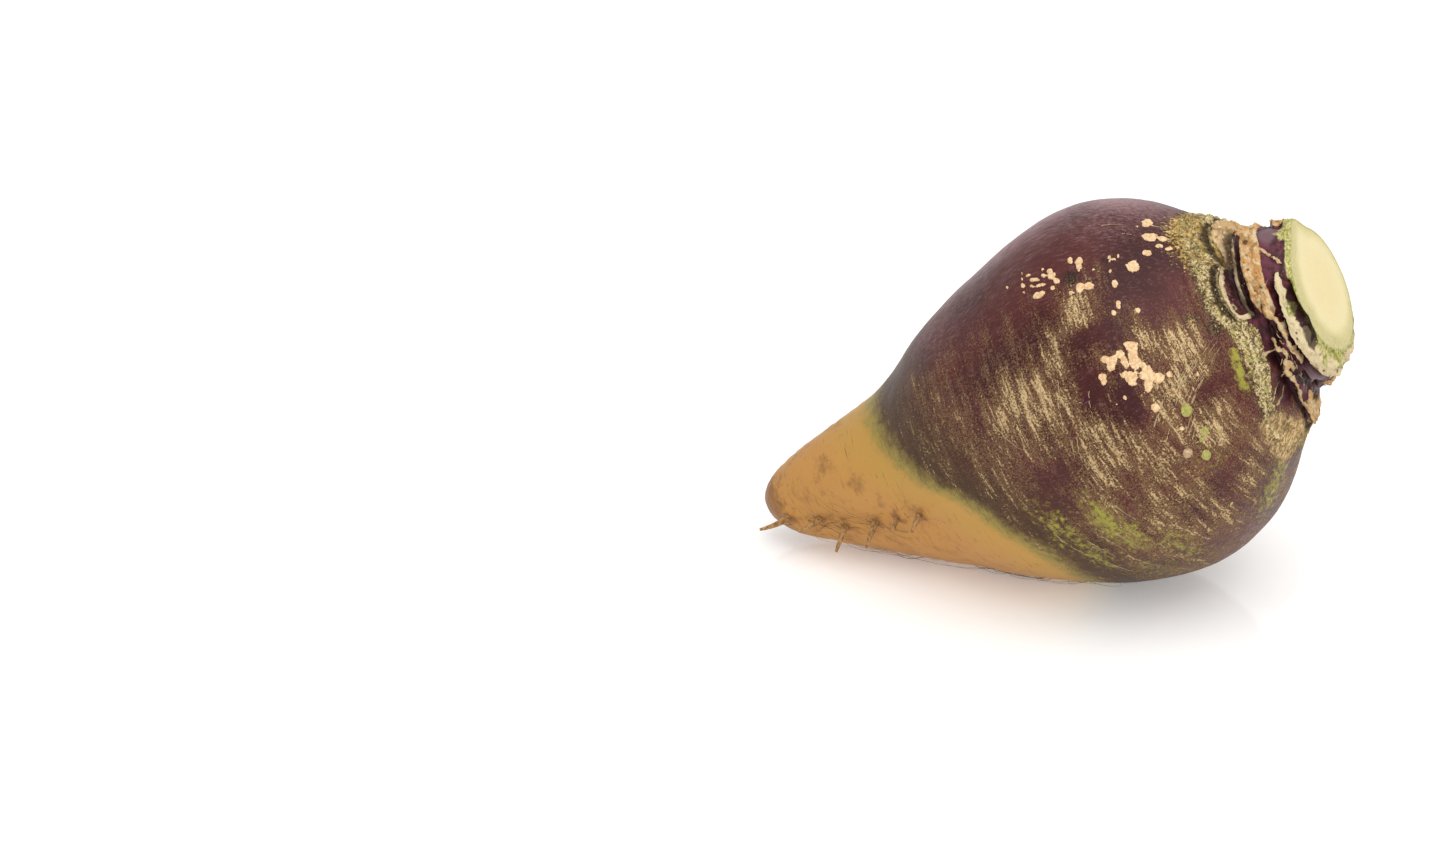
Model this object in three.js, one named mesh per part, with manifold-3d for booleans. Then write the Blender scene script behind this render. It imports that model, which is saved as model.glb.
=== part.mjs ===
// A whole rutabaga, as pulled and trimmed: a swollen root with a corky shoulder, a short neck ringed with
// leaf scars and cut across at the top, and a blunt tap root with the stubs of its side roots. It grew as
// one piece and is one solid. It lies on its side, crown raised.
// Millimetres, +Z up. The origin is the middle of the flat spot that it rests on, and the crown is at +X.
import * as THREE from "three";
import { mergeVertices } from "three/addons/utils/BufferGeometryUtils.js";
import Module from "manifold-3d";

// Driving dimensions. A station is a place along the root's own axis, 0 at its widest and + to the crown.
const BODY_RADIUS = 57.5;
const NECK_RADIUS = 22.6;
const FACE_RADIUS = 18.9; // the cut face across the neck
const ROOT_END = -119; // station of the tap root's tip
const FACE_STATION = 67.4; // station of the cut face's middle
const FACE_LEAN = { up: 0.1, front: -0.14 }; // how far the cut leans to the crown, per mm up and to the front
const LEAN_FROM = 56; // station from which the sections turn towards the cut's slope
const RIM_FADE = 1.7; // the scars die out over this much under the cut face
const LIE_TILT = 34; // degrees, crown above level
const REST_DEPTH = 59; // the surface that it rests on, below the middle of the widest section
const REST_SHIFT = -27; // the middle of the flat spot, along X from the middle of the widest section
const RAD = Math.PI / 180;

// Radius of the smooth root at its stations, without scars, cork or dents.
const PROFILE = [
  [ROOT_END, 0],
  [-118.4, 3.2],
  [-116.5, 6.4],
  [-112, 10.6],
  [-103, 15.6],
  [-92, 20.6],
  [-79, 26.2],
  [-65, 33],
  [-50, 42],
  [-35, 48.9],
  [-20, 54],
  [-8, 56.7],
  [2, BODY_RADIUS],
  [12, 56.3],
  [22, 52.7],
  [30, 47.5],
  [37, 41],
  [44, 34.4],
  [48.5, 30],
  [52.5, 25.8],
  [57, 23.7],
  [61, NECK_RADIUS],
  [64, NECK_RADIUS - 0.8],
  [FACE_STATION - 1, FACE_RADIUS + 0.8],
  [FACE_STATION, FACE_RADIUS],
];

// How far the middle of each section lies off the axis, upwards and sideways: the tap root bends.
const BEND_UP = [
  [ROOT_END, 20.5],
  [-104, 16.4],
  [-90, 11.8],
  [-70, 5.6],
  [-45, 2.7],
  [-20, 0],
  [20, 0.2],
  [45, 1.1],
  [FACE_STATION, 0.4],
];
const BEND_SIDE = [
  [ROOT_END, -5],
  [-90, -2.2],
  [-60, 0],
  [FACE_STATION, 0],
];

// Broad swellings of the body: share of the radius, waves round it, turn along it in radians a mm, phase.
const SWELLINGS = [
  [0.008, 2, 0.012, 0.7],
  [0.006, 3, -0.02, 2.2],
  [0.0035, 5, 0.04, 4.1],
];

// Leaf scars round the neck: middle of the crescent in degrees, its station, half its reach round the
// neck in degrees, how wide its band is and by what share it widens from the near end to the far one, how
// far it stands out, how much both ends run on to the crown, and how much the far end alone does.
const LEAF_SCARS = [
  { angle: 110, station: 63.9, reach: 62, band: 3.8, widen: 0.4, lift: 3.6, bow: 1, skew: 0.3 },
  { angle: 28, station: 57.8, reach: 50, band: 6.2, widen: 0.2, lift: 2.9, bow: 0.2, skew: -0.6 },
  { angle: 106, station: 57.6, reach: 42, band: 2.8, widen: -0.2, lift: 1.9, bow: -1.4, skew: -2.4 },
  { angle: 52, station: 51.2, reach: 21, band: 4.6, widen: 0, lift: 1.9, bow: 0.3, skew: 0 },
  { angle: 117, station: 53.8, reach: 38, band: 2.8, widen: 0.2, lift: 2, bow: -1, skew: -3.2 },
  { angle: 10, station: 51.6, reach: 24, band: 4.6, widen: 0, lift: 2.1, bow: 0.3, skew: 0.8 },
  { angle: 165, station: 49, reach: 20, band: 5, widen: 0.3, lift: 2.2, bow: 0.4, skew: -2 },
  { angle: 196, station: 56.6, reach: 46, band: 5, widen: -0.2, lift: 2.5, bow: 0.6, skew: 0.9 },
  { angle: 232, station: 63, reach: 58, band: 5.2, widen: -0.3, lift: 2.6, bow: 0.8, skew: -0.5 },
  { angle: 312, station: 61.8, reach: 44, band: 5, widen: -0.2, lift: 2.2, bow: 0.7, skew: 0.9 },
  { angle: 270, station: 57.2, reach: 46, band: 5.4, widen: 0.3, lift: 2.4, bow: 0.5, skew: -0.7 },
  { angle: 228, station: 51.6, reach: 34, band: 4.8, widen: 0.1, lift: 2, bow: 0.5, skew: 0.6 },
  { angle: 306, station: 52.6, reach: 42, band: 4.6, widen: 0.2, lift: 2, bow: -0.5, skew: -0.8 },
];
const SCAR_NOTCH = 0.5; // the groove under a scar's lower edge, as a share of its lift
const SCAR_WAVER = 0.45; // how far a scar's line wanders along the neck

// Bare crevices round the neck, given as scars are.
const CREVICES = [
  { angle: 86, station: 65.9, reach: 32, band: 1.7, widen: 0.3, lift: -3, bow: 0.2, skew: 0.1 },
  { angle: 40, station: 54.2, reach: 30, band: 2, widen: 0, lift: -1.7, bow: 0, skew: -0.7 },
  { angle: 150, station: 55, reach: 26, band: 2.2, widen: 0, lift: -1.5, bow: 0, skew: -0.8 },
];

// Lobes and hollows: middle in degrees and station, half size round and along in mm, height or depth.
const DENTS = [
  { angle: 138, station: 57.6, round: 8, along: 2.8, height: 2 }, // the low end of the purple internode
  { angle: 10, station: 62.2, round: 5, along: 2, height: 1.3 },
  { angle: 14, station: 54.8, round: 3.6, along: 1.7, height: 1.2 },
  { angle: 352, station: 66.4, round: 4.6, along: 3.6, height: 2.8 }, // a knob on the rim of the cut face
  { angle: 152, station: 46.4, round: 5, along: 2.4, height: 1.7 },
  { angle: 101, station: 51.4, round: 5, along: 1.8, height: -1.5 },
  { angle: 122, station: 49.6, round: 8, along: 2.6, height: -2.3 }, // pocket under a shoulder scar
  { angle: 26, station: 49.4, round: 3.6, along: 1.7, height: -2 },
  { angle: 44, station: -22, round: 4, along: 26, height: -0.7 }, // growth crease on the body
  { angle: 200, station: -64, round: 11, along: 20, height: -1.1 },
  { angle: 318, station: -48, round: 14, along: 18, height: -1 },
];

// The corky ring on the shoulder: wavy rolls of bark round the foot of the neck.
const CORK = { station: 45.2, half: 4.6, rolls: 3, lift: 0.8, sway: 1.9 };

// Side roots leave the tap root in two rows, on opposite sides, each in a shallow furrow.
const FURROW_ANGLES = [98, 281];
const FURROW = { from: -112, to: -30, depth: 1.3, half: 9 };
const ROOTLETS = { perRow: 6, from: -111, to: -62, radius: 1.25, length: 9, sides: 5, joints: 3, sunk: 3 };

// Mesh size: the greatest step between rows on each stretch, and how many points go round each row of it.
const STRETCHES = [
  { from: -118.4, to: -103, step: 4.2, columns: 64 },
  { from: -103, to: 30, step: 7, columns: 64 },
  { from: 30, to: 41, step: 2.8, columns: 128 },
  { from: 41, to: 61, step: 1.2, columns: 128 },
  { from: 61, to: FACE_STATION, step: 0.86, columns: 128 },
];
const FACE_RING = 0.55; // one ring inside the cut face, as a share of its radius
const SEED = 20417;

const smooth = (low, high, x) => {
  const s = Math.min(1, Math.max(0, (x - low) / (high - low)));
  return s * s * (3 - 2 * s);
};

// Degrees from b to a, from -180 to 180.
const turn = (a, b) => ((((a - b) % 360) + 540) % 360) - 180;

// A smooth curve through [x, y] points, read at x.
function along(points, x) {
  const last = points.length - 1;
  let i = 0;
  while (i < last - 1 && x > points[i + 1][0]) i++;
  const slope = (k) => {
    const a = points[Math.max(0, k - 1)];
    const b = points[Math.min(last, k + 1)];
    return (b[1] - a[1]) / (b[0] - a[0]);
  };
  const [x0, y0] = points[i];
  const [x1, y1] = points[i + 1];
  const width = x1 - x0;
  const s = Math.min(1, Math.max(0, (x - x0) / width));
  const s2 = s * s;
  const s3 = s2 * s;
  return (
    y0 * (2 * s3 - 3 * s2 + 1) +
    y1 * (3 * s2 - 2 * s3) +
    width * (slope(i) * (s3 - 2 * s2 + s) + slope(i + 1) * (s3 - s2))
  );
}

// The same random numbers each run, from 0 to 1.
function randomFrom(seed) {
  let state = seed;
  return () => {
    state = (state * 16807) % 2147483647;
    return state / 2147483647;
  };
}

// A leaf scar is a crescent shelf: steep on the root's side, with a groove under it, easing off to the crown.
function scarRelief(scar, angle, station) {
  const a = turn(angle, scar.angle) / scar.reach;
  if (Math.abs(a) >= 1) return 0;
  const full = Math.sqrt(1 - a * a);
  const wave = angle * RAD;
  const waver = SCAR_WAVER * Math.sin(5 * wave + scar.station) * Math.cos(3 * wave + scar.angle);
  const middle = scar.station + scar.bow * a * a + scar.skew * a + waver;
  const half = (scar.band / 2) * (1 + scar.widen * a) * (0.35 + 0.65 * full);
  const across = (station - middle) / half;
  const shelf = smooth(-1.5, -0.85, across) * (1 - smooth(0.45, 1.7, across));
  const notch = Math.exp(-(((across + 2) / 0.6) ** 2));
  return scar.lift * Math.pow(full, 0.7) * (shelf - (scar.lift > 0 ? SCAR_NOTCH * notch : 0));
}

function corkRelief(angle, station) {
  const sway = CORK.sway * (0.6 * Math.cos(angle * RAD - 1.5) + 0.4 * Math.cos(3 * angle * RAD + 0.8));
  const across = (station - CORK.station - sway) / CORK.half;
  const inside = smooth(1.15, 0.75, Math.abs(across));
  const roll = 0.5 + 0.5 * Math.cos(Math.PI * CORK.rolls * across + 1.3 * Math.cos(7 * angle * RAD));
  return CORK.lift * inside * (0.45 + 0.55 * roll);
}

function furrowRelief(angle, station, radius) {
  const inside = smooth(FURROW.from, FURROW.from + 10, station) * smooth(FURROW.to, FURROW.to - 30, station);
  const nearest = Math.min(...FURROW_ANGLES.map((f) => Math.abs(turn(angle, f))));
  const off = (nearest * RAD * radius) / FURROW.half;
  return -FURROW.depth * inside * Math.exp(-off * off);
}

function dentRelief(dent, angle, station, radius) {
  const round = (turn(angle, dent.angle) * RAD * radius) / dent.round;
  const far = (station - dent.station) / dent.along;
  return dent.height * Math.exp(-round * round - far * far);
}

// Radius of the root's skin at an angle (0 up, 90 to the front) and a station.
function skinRadius(angle, station) {
  const base = along(PROFILE, station);
  const fade = smooth(ROOT_END, -100, station) * smooth(FACE_STATION, 55, station);
  const swellings = SWELLINGS.map(
    ([share, waves, drift, phase]) => share * Math.cos(waves * angle * RAD + drift * station + phase),
  );
  const swell = swellings.reduce((sum, each) => sum + each);
  const scars = LEAF_SCARS.reduce((sum, scar) => sum + scarRelief(scar, angle, station), 0);
  const crevices = CREVICES.reduce((sum, crevice) => sum + scarRelief(crevice, angle, station), 0);
  const dents = DENTS.reduce((sum, dent) => sum + dentRelief(dent, angle, station, base), 0);
  const bark = corkRelief(angle, station) + furrowRelief(angle, station, base);
  const cut = smooth(FACE_STATION, FACE_STATION - RIM_FADE, station);
  return base * (1 + fade * swell) + (scars * cut + crevices + dents + bark) * smooth(0, 8, base);
}

// A point of a section, in the root's own frame: X along the axis, Z up and -Y to the front.
function sectionPoint(angle, station, radius) {
  const up = radius * Math.cos(angle * RAD);
  const front = radius * Math.sin(angle * RAD);
  const lean = smooth(LEAN_FROM, FACE_STATION, station) * (FACE_LEAN.up * up + FACE_LEAN.front * front);
  return new THREE.Vector3(station + lean, along(BEND_SIDE, station) - front, along(BEND_UP, station) + up);
}

// The rows of points that the skin is stretched over, from the tap root to the rim of the cut face.
function skinRows() {
  const rows = [];
  for (const { from, to, step, columns } of STRETCHES) {
    const count = Math.ceil((to - from) / step);
    for (let i = 0; i < count; i++) {
      rows.push({ station: from + ((to - from) * i) / count, columns, share: 1 });
    }
  }
  const { columns } = rows[rows.length - 1];
  return [...rows, ...[1, FACE_RING].map((share) => ({ station: FACE_STATION, columns, share }))];
}

// Triangles between two neighbouring rows, of which the upper has as many points as the lower, or twice.
function band(lower, upper) {
  const faces = [];
  const per = upper.count / lower.count;
  for (let i = 0; i < lower.count; i++) {
    const a = lower.first + i;
    const b = lower.first + ((i + 1) % lower.count);
    const above = (k) => upper.first + ((per * i + k) % upper.count);
    faces.push(a, b, above(Math.ceil(per / 2)));
    for (let k = 0; k < per; k++) faces.push(k < per / 2 ? a : b, above(k + 1), above(k));
  }
  return faces;
}

// The whole skin as one closed mesh, from the tap root's tip over the rim to the middle of the cut face.
function skinGeometry() {
  const points = [sectionPoint(0, ROOT_END, 0)];
  const rows = skinRows().map(({ station, columns, share }) => {
    const first = points.length;
    for (let i = 0; i < columns; i++) {
      const angle = (360 * i) / columns;
      points.push(sectionPoint(angle, station, share * skinRadius(angle, station)));
    }
    return { first, count: columns };
  });
  const last = points.push(sectionPoint(0, FACE_STATION, 0)) - 1;
  const faces = rows.slice(1).flatMap((row, i) => band(rows[i], row));
  const [bottom, top] = [rows[0], rows[rows.length - 1]];
  for (let i = 0; i < bottom.count; i++) {
    faces.push(0, bottom.first + ((i + 1) % bottom.count), bottom.first + i);
  }
  for (let i = 0; i < top.count; i++) {
    faces.push(last, top.first + i, top.first + ((i + 1) % top.count));
  }
  return new THREE.BufferGeometry().setFromPoints(points).setIndex(faces);
}

// A side root's stub: a tapering tube, bent towards the tip, that starts inside the tap root.
function rootletGeometry(angle, station, length, bend) {
  const foot = skinRadius(angle, station) - ROOTLETS.sunk;
  const reach = length + ROOTLETS.sunk;
  const path = new THREE.QuadraticBezierCurve3(
    sectionPoint(angle, station, foot),
    sectionPoint(angle, station - 0.1 * length, foot + reach * 0.6),
    sectionPoint(angle + bend, station - 0.7 * length, foot + reach),
  );
  const points = [];
  for (let joint = 0; joint <= ROOTLETS.joints; joint++) {
    const share = joint / ROOTLETS.joints;
    const middle = path.getPoint(share);
    const ahead = path.getTangent(share);
    const side = new THREE.Vector3(0, 0, 1).cross(ahead).normalize();
    const up = ahead.clone().cross(side);
    const radius = ROOTLETS.radius * (1 - 0.66 * share);
    for (let i = 0; i < ROOTLETS.sides; i++) {
      const a = (2 * Math.PI * i) / ROOTLETS.sides;
      points.push(
        middle.clone().addScaledVector(side, radius * Math.cos(a)).addScaledVector(up, radius * Math.sin(a)),
      );
    }
  }
  const first = points.push(path.getPoint(0)) - 1;
  const last = points.push(path.getPoint(1)) - 1;
  const n = ROOTLETS.sides;
  const faces = [];
  for (let i = 0; i < n; i++) {
    const next = (i + 1) % n;
    const top = ROOTLETS.joints * n;
    faces.push(first, next, i, last, top + i, top + next);
    for (let joint = 0; joint < ROOTLETS.joints; joint++) {
      const a = joint * n + i;
      const b = joint * n + next;
      faces.push(a, b, a + n, b, b + n, a + n);
    }
  }
  return new THREE.BufferGeometry().setFromPoints(points).setIndex(faces);
}

function rootlets() {
  const random = randomFrom(SEED);
  const made = [];
  for (const angle of FURROW_ANGLES) {
    for (let i = 0; i < ROOTLETS.perRow; i++) {
      const share = (i + 0.6 * random()) / ROOTLETS.perRow;
      const station = ROOTLETS.from + (ROOTLETS.to - ROOTLETS.from) * share;
      const length = ROOTLETS.length * (0.55 + 0.6 * random()) * (1.1 - 0.6 * share);
      made.push(rootletGeometry(angle + 16 * (random() - 0.5), station, length, 24 * (random() - 0.5)));
    }
  }
  return made;
}

// From the root's own frame to the part's: tilted crown up, with the flat spot's middle at the origin.
const lie = new THREE.Matrix4()
  .makeTranslation(-REST_SHIFT, 0, REST_DEPTH)
  .multiply(new THREE.Matrix4().makeRotationY(-LIE_TILT * RAD));

const wasm = await Module();
wasm.setup();

function solidOf(geometry) {
  const merged = geometry.index ? geometry.clone() : mergeVertices(geometry);
  for (const name of ["normal", "uv"]) merged.deleteAttribute(name);
  const welded = mergeVertices(merged, 1e-4);
  return new wasm.Manifold(
    new wasm.Mesh({
      numProp: 3,
      vertProperties: new Float32Array(welded.attributes.position.array),
      triVerts: new Uint32Array(welded.index.array),
    }),
  );
}

function geometryOf(solid) {
  const mesh = solid.getMesh();
  const geometry = new THREE.BufferGeometry();
  geometry.setAttribute("position", new THREE.BufferAttribute(mesh.vertProperties, 3));
  geometry.setIndex(new THREE.BufferAttribute(mesh.triVerts, 1));
  geometry.computeVertexNormals();
  return geometry;
}

// What lies below the resting surface is worn flat.
const below = new THREE.BoxGeometry(400, 400, 100).translate(0, 0, -50);

const whole = [skinGeometry(), ...rootlets()]
  .map((geometry) => solidOf(geometry.applyMatrix4(lie)))
  .reduce((sum, piece) => sum.add(piece))
  .subtract(solidOf(below));

const skin = new THREE.MeshStandardMaterial({ color: 0x5a3540, roughness: 0.5, metalness: 0 });
const rutabaga = new THREE.Mesh(geometryOf(whole), skin);
rutabaga.name = "rutabaga";

const part = new THREE.Group();
part.add(rutabaga);

export default part;
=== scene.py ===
import math
from collections import namedtuple
from functools import cache

import bpy
import numpy as np
from mathutils import Matrix, Vector


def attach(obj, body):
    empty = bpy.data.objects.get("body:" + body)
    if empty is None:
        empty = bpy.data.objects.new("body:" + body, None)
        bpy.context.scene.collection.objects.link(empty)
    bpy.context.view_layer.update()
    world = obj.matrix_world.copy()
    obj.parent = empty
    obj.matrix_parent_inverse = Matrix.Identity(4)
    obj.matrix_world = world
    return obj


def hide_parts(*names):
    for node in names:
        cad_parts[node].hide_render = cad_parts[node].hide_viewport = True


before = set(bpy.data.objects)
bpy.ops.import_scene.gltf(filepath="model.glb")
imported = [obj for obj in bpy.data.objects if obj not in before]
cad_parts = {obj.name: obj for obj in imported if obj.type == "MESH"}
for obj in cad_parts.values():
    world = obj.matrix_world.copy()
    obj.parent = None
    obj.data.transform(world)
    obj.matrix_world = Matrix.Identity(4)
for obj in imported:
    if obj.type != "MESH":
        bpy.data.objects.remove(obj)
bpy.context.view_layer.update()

bl_info = {
    "name": "Rutabaga",
    "version": (1, 0, 0),
    "blender": (4, 5, 0),
    "location": "3D View > Sidebar > Rutabaga",
    "description": "Grows a whole rutabaga, with its leaf scars, bark, scabs and root hairs",
    "category": "Add Mesh",
}

# Sizes of the root are in millimetres and angles in degrees, and meshes are in metres. A station is a place
# along the root's own axis, 0 at its widest and + to the crown. An angle goes round it, and is 0 at the
# top and 90 in front.
MM = 0.001
BODY_RADIUS = 57.5
NECK_RADIUS = 22.6
FACE_RADIUS = 18.9
ROOT_END = -119
FACE_STATION = 67.4
FACE_LEAN_UP = 0.1
FACE_LEAN_FRONT = -0.14
LEAN_FROM = 56
RIM_FADE = 1.7
LIE_TILT = math.radians(34)
REST_DEPTH = 59
REST_SHIFT = -27

# The root's outline: station, radius.
PROFILE = [
    (ROOT_END, 0), (-118.4, 3.2), (-116.5, 6.4), (-112, 10.6), (-103, 15.6), (-92, 20.6), (-79, 26.2),
    (-65, 33), (-50, 42), (-35, 48.9), (-20, 54), (-8, 56.7), (2, BODY_RADIUS), (12, 56.3), (22, 52.7),
    (30, 47.5), (37, 41), (44, 34.4), (48.5, 30), (52.5, 25.8), (57, 23.7), (61, NECK_RADIUS),
    (64, NECK_RADIUS - 0.8), (FACE_STATION - 1, FACE_RADIUS + 0.8), (FACE_STATION, FACE_RADIUS),
]
# How far its axis bends: station, offset.
BEND_UP = [
    (ROOT_END, 20.5), (-104, 16.4), (-90, 11.8), (-70, 5.6), (-45, 2.7), (-20, 0), (20, 0.2), (45, 1.1),
    (FACE_STATION, 0.4),
]
BEND_SIDE = [
    (ROOT_END, -5), (-90, -2.2), (-60, 0), (FACE_STATION, 0),
]
# Swellings: share of the radius, waves round the root, drift to a mm of station, phase.
SWELLINGS = [(0.008, 2, 0.012, 0.7), (0.006, 3, -0.02, 2.2), (0.0035, 5, 0.04, 4.1)]

# A leaf scar or, with a lift below 0, a crevice. It reaches so many degrees to each side of its angle, as a
# band so many mm wide. The tint goes from whitish green at 0 to orange tan at 1, bare is the share of the
# width that has kept its purple skin, and sunken is how dark and deep the middle is.
Scar = namedtuple(
    "Scar", "angle station reach band widen lift bow skew tint bare sunken", defaults=(0.5, 0.0, 0.0))
LEAF_SCARS = [
    Scar(110, 63.9, 62, 3.8, 0.4, 3.6, 1, 0.3, tint=0.05),
    Scar(28, 57.8, 50, 6.2, 0.2, 2.9, 0.2, -0.6, tint=0.95),
    Scar(106, 57.6, 42, 2.8, -0.2, 1.9, -1.4, -2.4, tint=0.6, bare=0.95),
    Scar(52, 51.2, 21, 4.6, 0, 1.9, 0.3, 0, tint=0.3, sunken=1),
    Scar(117, 53.8, 38, 2.8, 0.2, 2, -1, -3.2, tint=0.5, bare=0.95),
    Scar(10, 51.6, 24, 4.6, 0, 2.1, 0.3, 0.8, tint=0.55),
    Scar(165, 49, 20, 5, 0.3, 2.2, 0.4, -2, tint=0.65),
    Scar(196, 56.6, 46, 5, -0.2, 2.5, 0.6, 0.9, tint=0.8),
    Scar(232, 63, 58, 5.2, -0.3, 2.6, 0.8, -0.5, tint=0.2),
    Scar(312, 61.8, 44, 5, -0.2, 2.2, 0.7, 0.9, tint=0.7),
    Scar(270, 57.2, 46, 5.4, 0.3, 2.4, 0.5, -0.7, tint=0.9),
    Scar(228, 51.6, 34, 4.8, 0.1, 2, 0.5, 0.6, tint=0.5),
    Scar(306, 52.6, 42, 4.6, 0.2, 2, -0.5, -0.8, tint=0.6),
]
SCAR_NOTCH = 0.5
SCAR_WAVER = 0.45
CREVICES = [
    Scar(86, 65.9, 32, 1.7, 0.3, -3, 0.2, 0.1),
    Scar(40, 54.2, 30, 2, 0, -1.7, 0, -0.7),
    Scar(150, 55, 26, 2.2, 0, -1.5, 0, -0.8),
]

# Lobes, hollows and folds: angle, station, half size round and along, height. The knob on the rim is green,
# and the windows are hollows with steep sides.
RIM_KNOB = (352, 66.4, 4.6, 3.6, 2.8)
DENTS = [
    (138, 57.6, 8, 2.8, 2), (10, 62.2, 5, 2, 1.3), (14, 54.8, 3.6, 1.7, 1.2), RIM_KNOB,
    (152, 46.4, 5, 2.4, 1.7), (101, 51.4, 5, 1.8, -1.5), (122, 49.6, 8, 2.6, -2.3),
    (26, 49.4, 3.6, 1.7, -2), (44, -22, 4, 26, -0.7), (200, -64, 11, 20, -1.1), (318, -48, 14, 18, -1),
]
WINDOWS = [
    (89.5, 56.6, 3.3, 1.3, -1.2), (106, 52, 3.8, 1.9, -1.1), (127, 48.9, 4.6, 2.5, -1.1),
    (110, 56.8, 2.8, 1.1, -1.1), (121, 55.6, 3.6, 1.3, -1.1), (84, 53.3, 2.2, 1.2, -0.7),
    (45, 50.8, 3.4, 1.1, -0.6), (58, 50.5, 3.6, 1, -0.6), (212, 49, 5, 1.4, -0.8),
    (292, 49.4, 5, 1.4, -0.8),
]
BUD_HOLE = (122, 47.2, 1.3, 1.1, -1.5)
BUD_RING, BUD_RING_WIDTH = 1.5, 0.38
FOLDS = [
    (357, 44.6, 3.2, 1.5, 1.2), (4, 48.6, 3, 1.2, -1.1), (15, 45.8, 3.4, 1.2, 1.3),
    (20, 49.2, 2.2, 0.9, -1.3), (26, 46.9, 2.4, 1.1, 1.1), (343, 50.4, 3.4, 1.4, 1.1),
    (345, 53, 3, 0.9, -1), (336, 46.6, 4, 1.6, 0.9), (38, 47.6, 2.6, 1.6, 0.7), (58, 47.4, 4, 1.3, 0.6),
    (200, 44, 5, 1.8, 0.8), (236, 47, 4, 1.5, -0.8), (262, 44.5, 5, 1.6, 0.9),
    (348, 63.7, 5.5, 1.5, -2.1), (4, 64, 4, 1.2, -0.7), (356, 67.4, 5, 1, 0.9),
]
# Strips of tissue left between the neck's hollows: half width, height, places of angle and station.
STRIPS = [
    (0.8, 1.2, (75, 57.2), (80, 58.7), (87, 59.2), (94, 58.6), (101, 58), (107, 58.6), (114, 58.4)),
    (0.42, 0.8, (91, 54.8), (96, 54.5), (99, 54.7), (103, 55.6)),
    (0.5, 1.1, (100, 55.9), (104, 55.7), (109, 54.1), (114, 53), (118, 52.9), (125.5, 52.6), (134, 51.5),
     (139, 50.3), (145, 49.7), (151, 49.7), (163, 48.8)),
    (0.35, 0.8, (114, 53), (117, 51.6), (119.5, 50.3)),
    (0.6, 0.8, (110.5, 54.8), (118, 54.4)),
    (0.35, 0.6, (96, 50.5), (99, 52), (98, 54.4)),
    (0.35, 0.8, (27, 61.2), (32, 62.4), (36, 64.2), (41, 65)),
    (0.4, 0.9, (200, 52.6), (206, 55), (214, 57), (222, 60)),
    (0.4, 0.9, (214, 57), (226, 56.6), (236, 54.6)),
    (0.4, 0.9, (302, 54.6), (296, 56), (288, 58), (284, 61)),
]

CORK_STATION, CORK_HALF, CORK_ROLLS, CORK_LIFT, CORK_SWAY = 45.2, 4.6, 3, 0.8, 1.9
FURROW_ANGLES = (98, 281)
FURROW_FROM, FURROW_TO, FURROW_DEPTH, FURROW_HALF = -112, -30, 1.3, 9
ROOTLETS_PER_ROW, ROOTLETS_FROM, ROOTLETS_TO = 6, -111, -62
ROOTLET_RADIUS, ROOTLET_LENGTH, ROOTLET_SUNK = 1.25, 9, 3
ROOT_COLLAR = 0.9
HEART_UP, HEART_FRONT = 0.03, -0.13  # middle of the cut's pale heart, as shares of its radius
STRAND_SHARES = (-0.55, -0.12, 0.34, 0.62)  # where the leaf's strands went through, in a scar's reach
LIP_HEIGHT, SUNKEN_DEPTH, PIT_DEPTH, BUD_RING_HEIGHT, RIDGE_HEIGHT = 0.45, 0.55, 0.5, 0.4, 0.3
NECK_FROM, STRIPS_FROM, RIM_SCARS_FROM = 45, 42, 61  # stations
SLOPE_ANGLE, SLOPE_STATION = 1, 0.7  # how far to each side a normal reads the skin
SEED = 20417

IMAGE_WIDTH, IMAGE_HEIGHT = 1445, 855
SENSOR = 36.0  # mm across
AIM_PIXEL = (1129.6, 389.6)  # where the middle of the widest section stands in the image
PIXELS_PER_MM = 3.32
LIGHTS_AIM = (0, 0, 0.05)

# Rows of the skin's mesh: from, to and step.
ROW_STRETCHES = [
    (-118.7, -112, 1.0), (-112, 35, 1.45), (35, 44, 0.42), (44, FACE_STATION, 0.36),
]
COLUMNS = 448
FACE_SHARES = (0.985, 0.965, 0.94, 0.91, 0.875, 0.83, 0.77, 0.7, 0.6, 0.48, 0.34, 0.18)

# Lines round the root: angle, station.
PALE_EDGE = [
    (0, -76), (40, -73), (75, -63), (88, -53), (104, -46), (117, -40), (146, -38), (180, -43), (230, -52),
    (290, -65), (330, -73),
]
PALE_LEAD, PALE_FADE = 16, 22  # mm
SHOULDER_RIDGE = [
    (0, 47.6), (40, 49.4), (73, 49.9), (90, 49.1), (103, 47.2), (114, 44.7), (121, 42.6), (129, 41),
    (150, 40.6), (180, 42.4), (210, 44.6), (240, 46.2), (270, 45.4), (300, 44.6), (330, 45.6),
]
CORK_LOW = [
    (0, 41.2), (18, 42), (40, 43.6), (55, 44), (68, 45), (80, 46.7), (91, 46.3), (103, 44.8), (112, 43),
    (121, 41.2), (134, 39), (150, 38.2), (180, 40), (210, 42), (240, 43), (270, 42.6), (300, 40.2),
    (330, 39.8),
]
CORK_HIGH = [
    (0, 49), (19, 48.6), (38, 48.8), (58, 49.4), (72, 50.6), (80, 51.8), (92, 51.1), (103, 49.9),
    (112, 47.9), (121, 45.4), (134, 44), (150, 42.8), (180, 44.5), (210, 46.7), (240, 48.3), (270, 47.5),
    (300, 46.7), (330, 47.7),
]

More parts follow.
